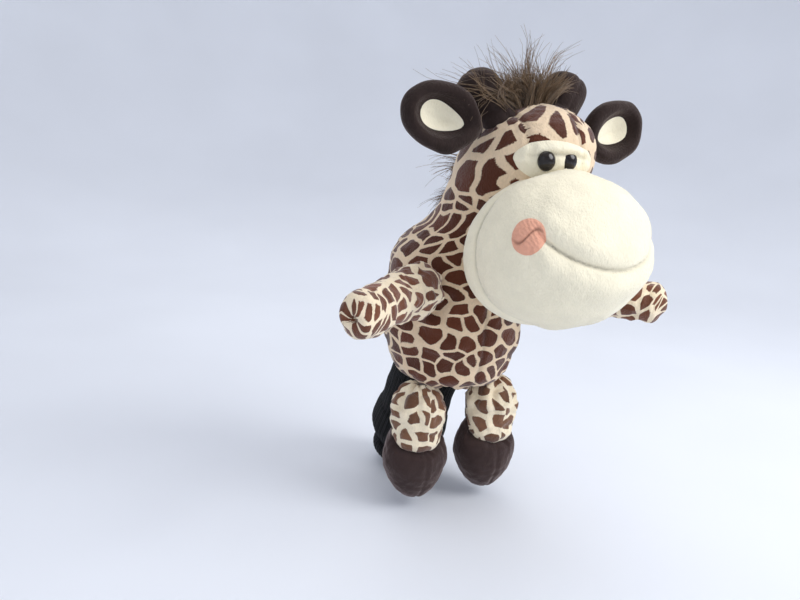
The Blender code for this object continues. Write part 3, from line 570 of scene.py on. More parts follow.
def tube_chart(radius, stretch=1.0, shift=0.0, swirl=1.0):
    """The chart of a limb along its own Z, with its seam behind. Beyond the swirl's height the cloth is twisted."""

    def chart(place, middle):
        near = math.atan2(middle.x, -middle.y)
        angle = angle_near(math.atan2(place.x, -place.y), near)
        beyond = max(0.0, place.z - swirl)
        return angle * radius + shift + 1.6 * beyond, place.z * stretch + 0.8 * beyond

    return chart


def rounded(obj, levels=1):
    smooth = obj.modifiers.new("Smooth", "SUBSURF")
    smooth.levels = levels
    smooth.render_levels = levels
    return obj


def blown(obj, held, pressure, slack, most, frames=20):
    """Fills a piece by cloth simulation. Points with weight in held stay, and no point moves further than most."""
    scene = bpy.context.scene
    group = obj.vertex_groups.new(name="held")
    start = [vert.co.copy() for vert in obj.data.vertices]
    for vert in obj.data.vertices:
        weight = held(vert.co)
        if weight > 0:
            group.add([vert.index], min(weight, 1.0), "REPLACE")
    cloth = obj.modifiers.new("Cloth", "CLOTH")
    settings = cloth.settings
    settings.quality = 5
    settings.mass = 0.15
    settings.tension_stiffness = 15
    settings.compression_stiffness = 15
    settings.shear_stiffness = 5
    settings.bending_stiffness = 0.3
    settings.use_pressure = True
    settings.uniform_pressure_force = pressure
    settings.shrink_min = -slack
    settings.effector_weights.gravity = 0.0
    settings.vertex_group_mass = "held"
    cloth.collision_settings.use_collision = False
    cloth.point_cache.frame_start = 1
    cloth.point_cache.frame_end = frames
    for number in range(1, frames + 1):
        scene.frame_set(number)
    shaped = obj.evaluated_get(bpy.context.evaluated_depsgraph_get()).data
    ends = [vert.co.copy() for vert in shaped.vertices]
    obj.modifiers.remove(cloth)
    scene.frame_set(1)
    for vert, before, after in zip(obj.data.vertices, start, ends):
        step = after - before
        if step.length > most:
            step = step * (most / step.length)
        vert.co = before + step
    obj.vertex_groups.remove(group)
    obj.data.update()


def surface_of(*objs):
    """The finished surfaces of pieces, to lay others on."""
    scene = bpy.context.evaluated_depsgraph_get()
    bm = bmesh.new()
    for obj in objs:
        bm.from_mesh(obj.evaluated_get(scene).data)
    tree = BVHTree.FromBMesh(bm)
    bm.free()
    return tree


def middle(node_name):
    low, high = BOXES[node_name]
    return (low + high) / 2


def direction_of(side):
    """The way an arm points, from its shoulder to the middle of its stuffing."""
    return (middle("arm_%s_stuffing" % side) - Vector(JOINTS["shoulder_" + side]["pos_m"])).normalized()


def along_frame(origin, direction, facing):
    """A frame at origin with Z along direction and -Y as nearly along facing as it can."""
    z = direction.normalized()
    x = z.cross(facing).normalized()
    y = z.cross(x)
    return Matrix.Translation(origin) @ Matrix((x, y, z)).transposed().to_4x4()


def gathered(place, centre, axis, radius, depth, folds, seed):
    """How far cloth sinks, and puckers, where a limb is sewn to it."""
    out = place - centre
    along = out.dot(axis)
    if along < -18 * MM:
        return 0.0
    flat = out - axis * along
    reach = flat.length
    side = axis.orthogonal().normalized()
    angle = math.atan2(flat.dot(axis.cross(side)), flat.dot(side))
    groove = -depth * bell(reach - radius, 4.5 * MM)
    wobble = 2.0 * noise.noise(place / (16 * MM) + Vector((seed, 0, 0)))
    pucker = 0.45 * depth * math.cos(folds * angle + wobble) * bell(reach - radius - 7 * MM, 8 * MM)
    return groove + pucker


# The pieces


def head_point(x, y, z):
    """A place given in the head's own frame about the neck pivot, in millimetres."""
    return NECK + HEAD_TURN @ (Vector((x, y, z)) * MM)


def head_local(place):
    return HEAD_TURN.transposed() @ (place - NECK)


def make_trunk(settings):
    material = spotted("spotted plush body", settings.ground, settings.patch, settings.cell, 0.06)
    trunk = object_from("body_and_head_plush", loft(TRUNK, 120, 3.2 * MM), material)
    roots = []
    for side, sign in SIDES:
        shoulder = Vector(JOINTS["shoulder_" + side]["pos_m"])
        roots.append((shoulder, direction_of(side), 22 * MM, 4.0 * MM, 9, sign + 3))
        hip = Vector(JOINTS["hip_" + side]["pos_m"])
        roots.append((hip, Vector((0, 0, -1)), 24 * MM, 4.5 * MM, 10, sign + 7))

    def seam_pull(place):
        """1 on a seam: the middle of belly and back, the side seams, and both edges of the crown gusset."""
        body = bell(place.x, 1.8 * MM) * min(1.0, max(0.0, (26 * MM - place.z) / (14 * MM)))
        local = head_local(place)
        edge = bell(abs(local.x - 7 * MM) - 20 * MM, 1.8 * MM) * min(1.0, max(0.0, (place.z - 84 * MM) / (10 * MM)))
        return max(body, edge if local.y < 30 * MM else 0.0)

    def held(place):
        sunk = sum(-min(0.0, gathered(place, *root[:3], 1.0, *root[4:])) for root in roots)
        base = bell((place - Vector((0, 22, -104)) * MM).length, 34 * MM)
        return max(min(1.0, 1.4 * sunk), 0.9 * seam_pull(place), base, 0.35)

    blown(trunk, held, 3.0, 0.03, 4 * MM)

    def change(place, normal):
        sunk = sum(gathered(place, *root) for root in roots)
        seam = -1.6 * MM * seam_pull(place) * (1 + 0.5 * crumple(place, 7 * MM, 5))
        low = max(0.0, min(1.0, (30 * MM - place.z) / (40 * MM)))
        swell = (1.3 + 0.5 * low) * MM * crumple(place, 30 * MM, 2)
        flow = Vector((place.x * 1.0, place.y * 1.0, place.z * 1.9))
        crease = -1.7 * MM * low * max(0.0, ridged(flow, 34 * MM, 9) - 0.55) / 0.45
        tilt = bell(place.z - (30 * MM - 0.35 * (place.y + 20 * MM)), 9 * MM)
        nape = -1.5 * MM * tilt * (0.5 + 0.5 * ridged(place, 22 * MM, 4))
        return normal * (sunk + seam + swell + crease + nape)

    moved(trunk, change)
    finish_cloth(trunk, seam_pull)
    rounded(trunk)
    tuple(NECK_BEND[0])
    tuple(NECK_BEND[1])
    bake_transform(trunk)
    panels = ["body_%s_panel_%s" % (face, side) for face in ("front", "back") for side, _ in SIDES]
    heads = ["head_side_panel_" + side for side, _ in SIDES]
    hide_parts(*panels, *heads, "body_padding_front", "body_padding_back", "crown_gusset", "head_stuffing")
    return trunk


def trunk_axis(height):
    """The middle of the trunk's ring at a height, and how far up the cloth it lies."""
    run = 0.0
    for low, high in zip(TRUNK, TRUNK[1:]):
        reach = math.hypot(high[0] - low[0], high[3] - low[3])
        share = (height / MM - low[0]) / (high[0] - low[0])
        if share <= 1.0 or high is TRUNK[-1]:
            share = min(1.0, max(0.0, share))
            x = low[1] + (high[1] - low[1]) * share
            y = low[2] + (high[2] - low[2]) * share
            return x * MM, y * MM, (run + reach * share) * MM
        run += reach


def head_share(height):
    share = max(0.0, min(1.0, (height - 30 * MM) / (50 * MM)))
    return share * share * (3 - 2 * share)


def trunk_chart(place, middle):
    """Where a point lies on its panel's print: the gusset over the crown is its own panel."""
    local = head_local(middle)
    head = head_share(place.z)
    size = 1.0 - 0.27 * head
    if middle.z > 86 * MM and abs(local.x - 7 * MM) < 20 * MM:
        local = head_local(place)
        angle = math.atan2(local.z - 30 * MM, -local.y - 45 * MM)
        return (local.x + 0.4) * size, angle * 52 * MM * size
    x, y, run = trunk_axis(place.z)
    near_x, near_y, _ = trunk_axis(middle.z)
    near = math.atan2(middle.x - near_x, -(middle.y - near_y))
    angle = angle_near(math.atan2(place.x - x, -(place.y - y)), near)
    return angle * 56 * MM * size, run * (1.28 - 0.45 * head)


def finish_cloth(trunk, seam_pull):
    """Stores the print, how widely its patches are spread, and painted shade along the seams."""
    printed(trunk, trunk_chart)
    marked(trunk, "spread", [head_share(vert.co.z) for vert in trunk.data.vertices])
    marked(trunk, "seam", [0.6 * seam_pull(vert.co) for vert in trunk.data.vertices])


def muzzle_size():
    """The muzzle's middle and its half sizes, from its stuffing and the cloth over it."""
    low, high = BOXES["muzzle_stuffing"]
    cover = Vector((-0.9, 2.1, 1.8)) * MM
    return (low + high) / 2 + Vector((3.5, 0, -2)) * MM, (high - low) / 2 + cover


def muzzle_angles(place):
    """A place on the muzzle as its turn from the middle of the smile, and its rise."""
    centre, size = muzzle_size()
    local = HEAD_TURN.transposed() @ (place - centre)
    out = Vector((local.x / size.x, local.y / size.y, local.z / size.z)).normalized()
    return math.atan2(out.x, -out.y) - SMILE_TURN, math.asin(out.z)


def mouth_gap(place):
    """How far above the line of the mouth a place lies, and how much of the mouth is there."""
    turn, rise = muzzle_angles(place)
    line = math.radians(-6) + math.radians(18) * (turn / math.radians(48)) ** 2
    share = max(0.0, min(1.0, (math.radians(60) - abs(turn)) / math.radians(9)))
    return (rise - line) * 59 * MM, share


def joint_shade(piece, other):
    """How near each point of a piece is to the seam with another piece, from 0 to 1."""
    bm = bmesh.new()
    bm.from_mesh(other.data)
    near = BVHTree.FromBMesh(bm)
    bm.free()
    return [0.75 * bell(near.find_nearest(vert.co)[3], 1.3 * MM) for vert in piece.data.vertices]


def make_muzzle(settings):
    centre, size = muzzle_size()
    material = plush("ivory plush", settings.ivory, contrast=0.12, nap_sheen=0.09, sheen=0.3, depth=0.0006)
    front = object_from("muzzle_front", ball(size, centre, 112, HEAD_TURN), material)

    def held(place):
        return 0.9 * bell(place.y - centre.y - 16 * MM, 5 * MM) + (0.5 if place.y > centre.y + 20 * MM else 0.3)

    blown(front, held, 3.0, 0.02, 4 * MM)

    def change(place, normal):
        local = HEAD_TURN.transposed() @ (place - centre)
        gap, share = mouth_gap(place)
        crease = -2.6 * MM * bell(gap, 1.5 * MM) - 2.0 * MM * bell(gap, 7 * MM)
        lip = 2.6 * MM * bell(gap + 14 * MM, 13 * MM) + 1.3 * MM * bell(gap - 13 * MM, 11 * MM)
        back = -9 * MM * max(0.0, min(1.0, (local.y - 3 * MM) / (24 * MM)))
        soft = 1.9 * MM * crumple(place, 30 * MM, 3) + 0.5 * MM * crumple(place, 11 * MM, 8)
        return normal * (share * (crease + lip) + back + soft)

    # Painted shade along the crease of the mouth, kept in the seam attribute.
    mouth_crease_shade = [mouth_gap(vert.co) for vert in front.data.vertices]
    mouth_crease_shade = [0.6 * share * bell(gap, 1.4 * MM) for gap, share in mouth_crease_shade]
    moved(front, change)
    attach(front, "head")
    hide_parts("muzzle_upper_panel", "muzzle_lower_panel", "muzzle_stuffing")

    rear_size = Vector((size.x - 1.5 * MM, 31 * MM, size.z - 0.5 * MM))
    rear_place = centre + HEAD_TURN @ Vector((-3, 18, -4.5)) * MM
    rear = object_from("muzzle_back", ball(rear_size, rear_place, 56, HEAD_TURN), material)

    def soften(place, normal):
        return normal * (0.9 * MM * crumple(place, 18 * MM, 6) + 0.4 * MM * crumple(place, 8 * MM, 1))

    moved(rear, soften)
    # The seam attribute holds painted shade: in the crease of the mouth, and where the front meets the back.
    marked(front, "seam", [max(line, joint) for line, joint in zip(mouth_crease_shade, joint_shade(front, rear))])
    marked(rear, "seam", joint_shade(rear, front))
    rounded(rear)
    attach(rear, "head")
    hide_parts("muzzle_back_panel")
    return front


def laid_patch(name, outline, on, material, lift, steps=28):
    """A patch laid on other pieces. outline(u, v) gives (start, direction, lift share) for a ray onto them."""
    bm = bmesh.new()
    bmesh.ops.create_grid(bm, x_segments=steps, y_segments=steps, size=1.0)
    for vert in bm.verts:
        u, v = vert.co.x, vert.co.y
        disc_u = u * math.sqrt(max(0.0, 1 - v * v / 2))
        disc_v = v * math.sqrt(max(0.0, 1 - u * u / 2))
        start, direction, share = outline(disc_u, disc_v)
        hit, normal, _, _ = on.ray_cast(start, direction)
        if hit is None:
            raise RuntimeError(name + " doesn't reach the piece it lies on")
        vert.co = hit - direction * lift * share
    bmesh.ops.recalc_face_normals(bm, faces=bm.faces[:])
    _, direction, _ = outline(0.0, 0.0)
    if sum(face.normal.dot(direction) for face in bm.faces) > 0:
        bmesh.ops.reverse_faces(bm, faces=bm.faces[:])
    return object_from(name, bm, material)


def make_cheeks(settings, front):
    centre, size = muzzle_size()
    material = plush("salmon plush", settings.pink, contrast=0.14, nap_sheen=0.08, sheen=0.4, tint=(1, 0.85, 0.8))
    surface = surface_of(front)
    for side, sign in SIDES:
        turn = sign * CHEEK_SIDE + SMILE_TURN
        level = math.cos(CHEEK_RISE)
        out = Vector((level * math.sin(turn), -level * math.cos(turn), math.sin(CHEEK_RISE)))
        spot = Vector(share * reach for share, reach in zip(out, size))
        toward = HEAD_TURN @ Vector(share / reach for share, reach in zip(out, size)).normalized()
        start = centre + HEAD_TURN @ spot + toward * 0.05
        across = Vector((0, 0, 1)).cross(toward).normalized()
        rise = toward.cross(across)

        def dart(u, v, sign=sign):
            """1 in the fold that runs across the patch like a flash and on into the mouth."""
            wave = v + 0.30 * math.sin(3.6 * u * sign) + 0.28 * u * sign
            return bell(wave, 0.10) * max(0.0, 1 - max(0.0, abs(u) - 0.55) * 2.2)

        def outline(u, v, start=start, across=across, rise=rise, toward=toward, dart=dart):
            edge = 1 - math.hypot(u, v) ** 6
            puff = edge * (0.9 + 0.5 * bell(math.hypot(u, v), 0.6)) - 0.8 * dart(u, v) * edge
            reach = (settings.cheek_radius * u, settings.cheek_radius * 1.1 * v)
            return start + across * reach[0] + rise * reach[1], -toward, 0.1 + puff

        patch = laid_patch("cheek_patch_%s_plush" % side, outline, surface, material, 1.5 * MM, 56)
        # Painted shade in the fold across the patch, kept in the seam attribute.
        folds = []
        for vert in patch.data.vertices:
            flat = vert.co - start
            folds.append(dart(flat.dot(across) / settings.cheek_radius, flat.dot(rise) / settings.cheek_radius / 1.1))
        marked(patch, "seam", folds)
        cloth = patch.modifiers.new("Cloth", "SOLIDIFY")
        cloth.thickness = 1.2 * MM
        cloth.offset = -1.0
        rounded(patch)
        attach(patch, "head")
        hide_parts("cheek_patch_" + side)


def make_brow(settings, trunk):
    """The pale patch over the eyes, with a lid that rolls over them."""
    material = plush("brow plush", settings.ivory, contrast=0.10, nap_sheen=0.05, sheen=0.35)
    surface = surface_of(trunk)
    low = 77 * MM
    mid_x = NECK.x + 1 * MM

    def outline(u, v):
        x = mid_x + u * 31 * MM
        top = 108 * MM - 3 * MM * u
        z = low + (top - low) * (v + 1) / 2
        lid = 100.0 * MM - 5.0 * MM * u * u
        edge = max(0.0, 1 - max(abs(u), abs(v)) ** 8)
        roll = (1 - 0.7 * u * u) * (2.8 * bell(z - lid - 3.2 * MM, 3.6 * MM) - 1.0 * bell(z - lid + 2 * MM, 1.6 * MM))
        return Vector((x, -0.2, z)), Vector((0, 1, 0)), 0.6 + edge * (0.9 + roll)

    brow = laid_patch("brow_patch_plush", outline, surface, material, 1.0 * MM, 48)
    # Painted shade in the crease over the lids, kept in the seam attribute.
    creases = []
    for vert in brow.data.vertices:
        u = (vert.co.x - mid_x) / (31 * MM)
        lid = 98.2 * MM - 5.0 * MM * u * u
        creases.append(0.55 * bell(vert.co.z - lid, 1.5 * MM) * max(0.0, 1 - u * u * 1.5))
    marked(brow, "seam", creases)
    cloth = brow.modifiers.new("Cloth", "SOLIDIFY")
    cloth.thickness = 1.6 * MM
    cloth.offset = -1.0
    rounded(brow)
    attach(brow, "head")
    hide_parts("face_patch")


def make_eyes():
    material = eye_material()
    for side, sign in SIDES:
        low, high = BOXES["eye_" + side]
        size = Vector(((high.x - low.x) / 2 + 0.6 * MM, 5.2 * MM, (high.z - low.z) / 2 + 1.0 * MM))
        back = Vector(((low.x + high.x) / 2, low.y + 4.2 * MM, (low.z + high.z) / 2 - 2.5 * MM))
        bm = ball(size, back, 24, HEAD_TURN)
        eye = object_from("eye_%s_dome" % side, bm, material)
        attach(eye, "head")
        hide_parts("eye_" + side)


def ear_frame(side):
    pivot = Vector(JOINTS["ear_flap_" + side]["pos_m"])
    facing = Vector(JOINTS["ear_flap_" + side]["axis"])
    if facing.y > 0:
        facing = -facing
    out = middle("ear_lining_" + side) - pivot
    out = (out - facing * out.dot(facing)).normalized()
    x = out.cross(facing).normalized()
    return Matrix.Translation(pivot) @ Matrix((x, -facing, out)).transposed().to_4x4()


def make_ears(settings):
    """Cupped ears: a thick rolled rim round a dish, pinched at the root, with a pale lining in the dish."""
    # The dark plush's high contrast and nap settings paint lighter streaks of highlight into its colour.
    dark = plush("dark plush", settings.dark, clump=0.0014, contrast=0.55, nap_sheen=0.45, sheen=0.35, tint=(0.6, 0.5, 0.46))
    pale = plush("ear lining plush", settings.ivory, contrast=0.12, nap_sheen=0.08, sheen=0.3)
    long = settings.ear_length / 2
    wide = settings.ear_width / 2
    for side, sign in SIDES:
        place = ear_frame(side)
        heart = (0.32 - 0.02 * sign) * settings.ear_length
        ahead = Vector((0, -8.5 + 3.5 * sign, 0)) * MM
        bm = ball((wide, 12 * MM, long), (0, 0, heart), 40)
        ear = object_from("ear_%s_plush" % side, bm, dark)

        def cup(co, normal, sign=sign, heart=heart, ahead=ahead):
            u = co.x / wide
            v = (co.z - heart) / long
            pinch = max(0.0, min(1.0, (-v - 0.25) / 0.75))
            narrow = -co.x * 0.62 * pinch * pinch
            inner = math.sqrt((u / 0.62) ** 2 + ((v - 0.06) / 0.66) ** 2)
            hollow = 13.5 * MM * max(0.0, 1 - inner**2.4) if co.y < 0 else 0.0
            rim = -3.2 * MM * bell(math.sqrt(u * u + v * v) - 0.83, 0.2) if co.y < 0 else 0.0
            fold = 4 * MM * pinch * bell(u, 0.4) if co.y < 0 else 0.0
            curl = -5 * MM * u * u - 3 * MM * v * v
            soft = normal * (1.5 * MM * crumple(co, 15 * MM, 11 + sign))
            return Vector((narrow, hollow + rim + fold + curl, 0)) + soft + ahead

        moved(ear, cup)
        local = surface_of(ear)

        def outline(u, v, heart=heart, sign=sign):
            width = 0.43 * wide * (0.92 + 0.28 * v)
            spot = Vector((u * width, -0.1, heart + 0.02 * long + v * 0.52 * long))
            edge = max(0.0, 1 - math.hypot(u, v) ** 6)
            fold = -0.7 * bell(u - 0.15 * sign, 0.16) * max(0.0, 0.9 - v)
            return spot, Vector((0, 1, 0)), 0.2 + edge * (1.0 + fold)

        lining = laid_patch("ear_lining_%s_plush" % side, outline, local, pale, 1.3 * MM, 24)
        cloth = lining.modifiers.new("Cloth", "SOLIDIFY")
        cloth.thickness = 1.2 * MM
        cloth.offset = -1.0
        for piece, names, slot in ((ear, ("ear_" + side,), "dark_plush"), (lining, ("ear_lining_" + side,), "ivory_plush")):
            piece.data.transform(Matrix.Translation(Vector((2, 0, 3 - 4 * sign)) * MM) @ place)
            rounded(piece)
            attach(piece, "ear_" + side)
            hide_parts(*names)


def horn_frame(side, sign):
    """The horn's place: its ball sits in the far upper corner of the horn's box."""
    low, high = BOXES["horn_" + side]
    tip = Vector((high.x if sign > 0 else low.x, high.y, high.z)) - Vector((sign * 18, 18, 18)) * MM
    direction = HEAD_TURN @ Vector((sign * 12, 11, 18)).normalized()
    return along_frame(tip - direction * 26 * MM, direction, Vector((0, -1, 0)))


def make_horns(settings):
    material = bpy.data.materials["dark plush"]
    for side, sign in SIDES:
        horn = object_from("horn_%s_plush" % side, loft(HORN, 56, 2.2 * MM), material)

        def change(place, normal, sign=sign):
            seam = -1.1 * MM * bell(place.x, 1.6 * MM)
            fold = -1.3 * MM * bell(place.z - 7 * MM - 3 * MM * crumple(place, 14 * MM, 3), 2.6 * MM)
            return normal * (seam + fold + 0.9 * MM * crumple(place, 12 * MM, 20 + sign))

        moved(horn, change)
        horn.data.transform(horn_frame(side, sign))
        rounded(horn)
        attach(horn, "head")
        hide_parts("horn_" + side, "horn_stuffing_" + side)


def make_arms(settings):
    material = spotted("spotted plush arms", settings.arm_ground, settings.arm_patch, settings.arm_cell, 0.085)
    for side, sign in SIDES:
        pivot = Vector(JOINTS["shoulder_" + side]["pos_m"])
        place = along_frame(pivot, direction_of(side), Vector((0, -1, 0)))
        arm = object_from("arm_%s_plush" % side, loft(ARM, 72, 2.4 * MM), material)
        blown(arm, lambda co: 1.0 if co.z < 14 * MM else max(0.2, bell(co.z - 101 * MM, 6 * MM)), 3.0, 0.05, 3 * MM)

        def change(co, normal, sign=sign):
            reach = math.hypot(co.x, co.y)
            angle = math.atan2(co.y, co.x)
            tip = max(0.0, min(1.0, (co.z - 84 * MM) / (12 * MM)))
            swirl = tip * (1.2 * MM * math.cos(2 * angle + reach / (2.6 * MM)) - 4.0 * MM * bell(reach, 4 * MM))
            root = max(0.0, 1 - max(0.0, co.z - 12 * MM) / (26 * MM))
            gather = 1.4 * MM * root * math.cos(7 * angle + 2 * crumple(co, 15 * MM, 2))
            flow = Vector((co.x * 0.8, co.y * 0.8, co.z * 1.7))
            crease = -2.0 * MM * (1 - tip) * max(0.0, ridged(flow, 24 * MM, 31 + sign) - 0.6) / 0.4
            return normal * (swirl + gather + crease + 0.9 * MM * crumple(co, 17 * MM, sign + 12))

        moved(arm, change)
        printed(arm, tube_chart(20 * MM, 1.15, sign * 0.3, 80 * MM))
        arm.data.transform(place)
        rounded(arm)
        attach(arm, "arm_" + side)
        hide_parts("arm_%s_skin" % side, "arm_%s_stuffing" % side)


def make_legs(settings):
    material = spotted("spotted plush legs", settings.leg_ground, settings.leg_patch, settings.leg_cell, 0.10)
    for side, sign in SIDES:
        pivot = Vector(JOINTS["hip_" + side]["pos_m"])
        leg = object_from("leg_%s_plush" % side, loft(LEG, 72, 2.0 * MM), material)
        blown(leg, lambda co: 1.0 if co.z < 2 * MM else max(0.2, bell(co.z - 38 * MM, 4 * MM)), 3.0, 0.05, 3 * MM)

        def change(co, normal, sign=sign):
            reach = math.hypot(co.x, co.y)
            angle = math.atan2(co.y, co.x)
            end = max(0.0, min(1.0, (co.z - 26 * MM) / (9 * MM)))
            hem = end * (0.3 * MM * math.cos(7 * angle + 2 * crumple(co, 10 * MM, 4)) - 1.5 * MM * bell(reach, 4 * MM))
            root = max(0.0, min(1.0, (16 * MM - co.z) / (14 * MM)))
            gather = 1.5 * MM * root * math.cos(8 * angle + 3 * crumple(co, 12 * MM, 6))
            flow = Vector((co.x * 0.8, co.y * 0.8, co.z * 2.0))
            crease = -2.0 * MM * (1 - end) * max(0.0, ridged(flow, 22 * MM, 17 + sign) - 0.6) / 0.4
            return normal * (hem + gather + crease + 0.8 * MM * crumple(co, 15 * MM, sign + 2))

        moved(leg, change)
        printed(leg, tube_chart(22 * MM, 1.15, sign * 0.7))
        marked(leg, "spread", [0.5] * len(leg.data.vertices))
        leg.data.transform(Matrix.Translation(pivot) @ Matrix.Rotation(math.pi, 4, "X"))
        rounded(leg)
        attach(leg, "leg_" + side)
        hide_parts("leg_%s_skin" % side, "leg_%s_stuffing" % side)


def make_hooves(settings):
    """Stuffed hooves. The leg's rounded end lies in a hollow in the front of the hoof's top."""
    # The velour's contrast and nap settings paint highlight and shade into its colour.
    material = plush(
        "hoof velour", settings.hoof, clump=0.0011, contrast=0.35, nap_sheen=0.35, sheen=0.5, depth=0.0004,
        tint=(0.75, 0.62, 0.6),
    )
    for side, sign in SIDES:
        low, high = BOXES["hoof_skin_" + side]
        centre = (low + high) / 2
        size = (high - low) / 2
        ankle = Vector(JOINTS["ankle_" + side]["pos_m"])
        centre.z = low.z + 37 * MM
        size.z = 37 * MM
        hoof = object_from("hoof_%s_velour" % side, ball(size, centre, 44), material)

        def held(place, ankle=ankle):
            return max(0.25, 1.0 if (place - ankle).length < 24 * MM else 0.0)

        blown(hoof, held, 3.0, 0.03, 3 * MM)

        def change(place, normal, ankle=ankle, sign=sign, centre=centre):
            out = place - ankle
            step = Vector((0, 0, 0))
            clear = 23.6 * MM
            if out.length < clear and out.z > -clear:
                step = out.normalized() * (clear - out.length) if out.y > -6 * MM else Vector((0, 0, 0))
            front = max(0.0, min(1.0, (ankle.y - 2 * MM - place.y) / (10 * MM)))
            height = max(0.0, min(1.0, (place.z - ankle.z + 26 * MM) / (14 * MM)))
            step += Vector((0, 20 * MM, 0)) * front * height
            flat = Vector((out.x, out.y, 0))
            if flat.length < 22 * MM and out.y < 4 * MM and out.z > -27 * MM:
                step = -0.35 * flat
            seam = -1.0 * MM * bell(place.x - centre.x, 1.6 * MM) * (1 if place.y < centre.y else 0.6)
            soft = 1.3 * MM * crumple(place, 20 * MM, 40 + sign) + 0.5 * MM * crumple(place, 9 * MM, 2)
            taper = Vector((-(place.x - centre.x), 0, 0)) * 0.12 * max(0.0, (centre.z - place.z) / (34 * MM))
            return step + taper + normal * (seam + soft)

        moved(hoof, change)
        rounded(hoof)
        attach(hoof, "hoof_" + side)
        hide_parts("hoof_skin_" + side, "hoof_stuffing_" + side)


def sleeve_place():
    down = Vector(MOUNTS["sleeve_mouth"]["axis"]).normalized()
    return along_frame(middle("mouth_elastic"), down, Vector((0, -1, 0)))


def knitted_tube(name, outline, material, ribs, rib_depth, slump):
    """A turned tube of rib knit down its own Z, open at both ends."""
    rings = smooth_rings([(height, 0, 0, radius, radius) for height, radius in outline], 1.8 * MM)
    bm = bmesh.new()
    verts = [bm.verts.new((ring[3], 0, ring[0])) for ring in rings]
    edges = [bm.edges.new(pair) for pair in zip(verts, verts[1:])]
    bmesh.ops.spin(
        bm, geom=verts + edges, cent=(0, 0, 0), axis=(0, 0, 1), angle=2 * math.pi, steps=ribs * 4, use_merge=True
    )
    bmesh.ops.remove_doubles(bm, verts=bm.verts[:], dist=0.01 * MM)
    bmesh.ops.recalc_face_normals(bm, faces=bm.faces[:])
    if sum(face.normal.dot(face.calc_center_median() * Vector((1, 1, 0))) for face in bm.faces) < 0:
        bmesh.ops.reverse_faces(bm, faces=bm.faces[:])
    tube = object_from(name, bm, material)
    reach = outline[len(outline) // 2][1] * MM
    places = []
    for vert in tube.data.vertices:
        angle = math.atan2(vert.co.y, vert.co.x)
        places.append((angle * reach, vert.co.z, 0.0))
    marked(tube, "cloth_place", places, "FLOAT_VECTOR")

    def change(place, normal):
        angle = math.atan2(place.y, place.x)
        rib = rib_depth * math.cos(ribs * angle)
        flow = Vector((place.x * 0.7, place.y * 0.7, place.z * 1.3))
        sag = slump * crumple(flow, 30 * MM, 6) + 0.4 * slump * crumple(place, 13 * MM, 9)
        return normal * (rib + sag)

    moved(tube, change)
    return tube


def make_sleeve(settings):
    material = knit_material("black knit", settings.knit)
    place = sleeve_place()
    sleeve = knitted_tube("shaft_sleeve_knit", SLEEVE, material, 44, 0.35 * MM, 1.5 * MM)
    hem = knitted_tube("sleeve_hem_knit", HEM, material, 44, 0.3 * MM, 0.4 * MM)
    for piece, node_name, length in ((sleeve, "shaft_sleeve", 0.144), (hem, "sleeve_hem", 0.0165)):
        cloth = piece.modifiers.new("Cloth", "SOLIDIFY")
        cloth.thickness = 1.6 * MM
        cloth.offset = -1.0
        piece.data.transform(place)
        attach(piece, "body")
        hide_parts(node_name)


def make_inside(settings):
    """The pieces that stay as they are, with their finish."""
    knit = woven_material("pocket knit", settings.knit, 420.0)
    band = woven_material("elastic band", (0.03, 0.03, 0.032), 700.0, 0.6)
    moulded = woven_material("moulded washer", (0.75, 0.74, 0.7), 60.0, 0.45)
    finishes = {"pocket_lining": knit, "crown_seat_pad": knit, "mouth_elastic": band}
    finishes.update({"eye_washer_" + side: moulded for side, _ in SIDES})
    for name, finish in finishes.items():
        obj = frame["nodes"][name]
        obj.data.materials.clear()
        obj.data.materials.append(finish)


def strand_piece(name, strands, material):
    """Many fine strands as one mesh. A strand is a list of (place, radius)."""
    curve = bpy.data.curves.new(name, "CURVE")
    curve.dimensions = "3D"
    curve.bevel_depth = 1.0
    curve.bevel_resolution = 0
    count = len(strands[0])
    for strand in strands:
        spline = curve.splines.new("POLY")
        spline.points.add(count - 1)
        for point, (place, radius) in zip(spline.points, strand):
            point.co = (*place, 1.0)
            point.radius = radius
    guide = bpy.data.objects.new(name + "_guide", curve)
    bpy.context.scene.collection.objects.link(guide)
    bpy.context.view_layer.update()
    mesh = bpy.data.meshes.new_from_object(guide.evaluated_get(bpy.context.evaluated_depsgraph_get()))
    bpy.data.objects.remove(guide)
    mesh.materials.clear()
    mesh.materials.append(material)
    mesh.shade_smooth()
    obj = bpy.data.objects.new(name, mesh)
    bpy.context.scene.collection.objects.link(obj)
    total = len(mesh.vertices)
    round_points = total // (count * len(strands))
    per_strand = round_points * count
    shades = [random.Random(index).random() for index in range(len(strands))]
    marked(obj, "strand", [shades[min(index // per_strand, len(strands) - 1)] for index in range(total)])
    marked(obj, "along", [(index % per_strand) // round_points / (count - 1) for index in range(total)])
    return obj


def grown_strand(chance, root, heading, length, thick, curl, fall, lean, points=8):
    """One strand: it leaves along its heading, wanders, and bends under its own weight."""
    step = length / (points - 1)
    place = root.copy()
    way = heading.normalized()
    phase = Vector((chance.uniform(0, 50), chance.uniform(0, 50), chance.uniform(0, 50)))
    strand = []
    for index in range(points):
        share = index / (points - 1)
        strand.append((place.copy(), thick * (1 - 0.75 * share)))
        drift = noise.noise_vector(place / (22 * MM) + phase) * curl
        way = (way + drift + Vector((0, 0, -fall * (0.3 + share))) + lean * share).normalized()
        place = place + way * step
    return strand


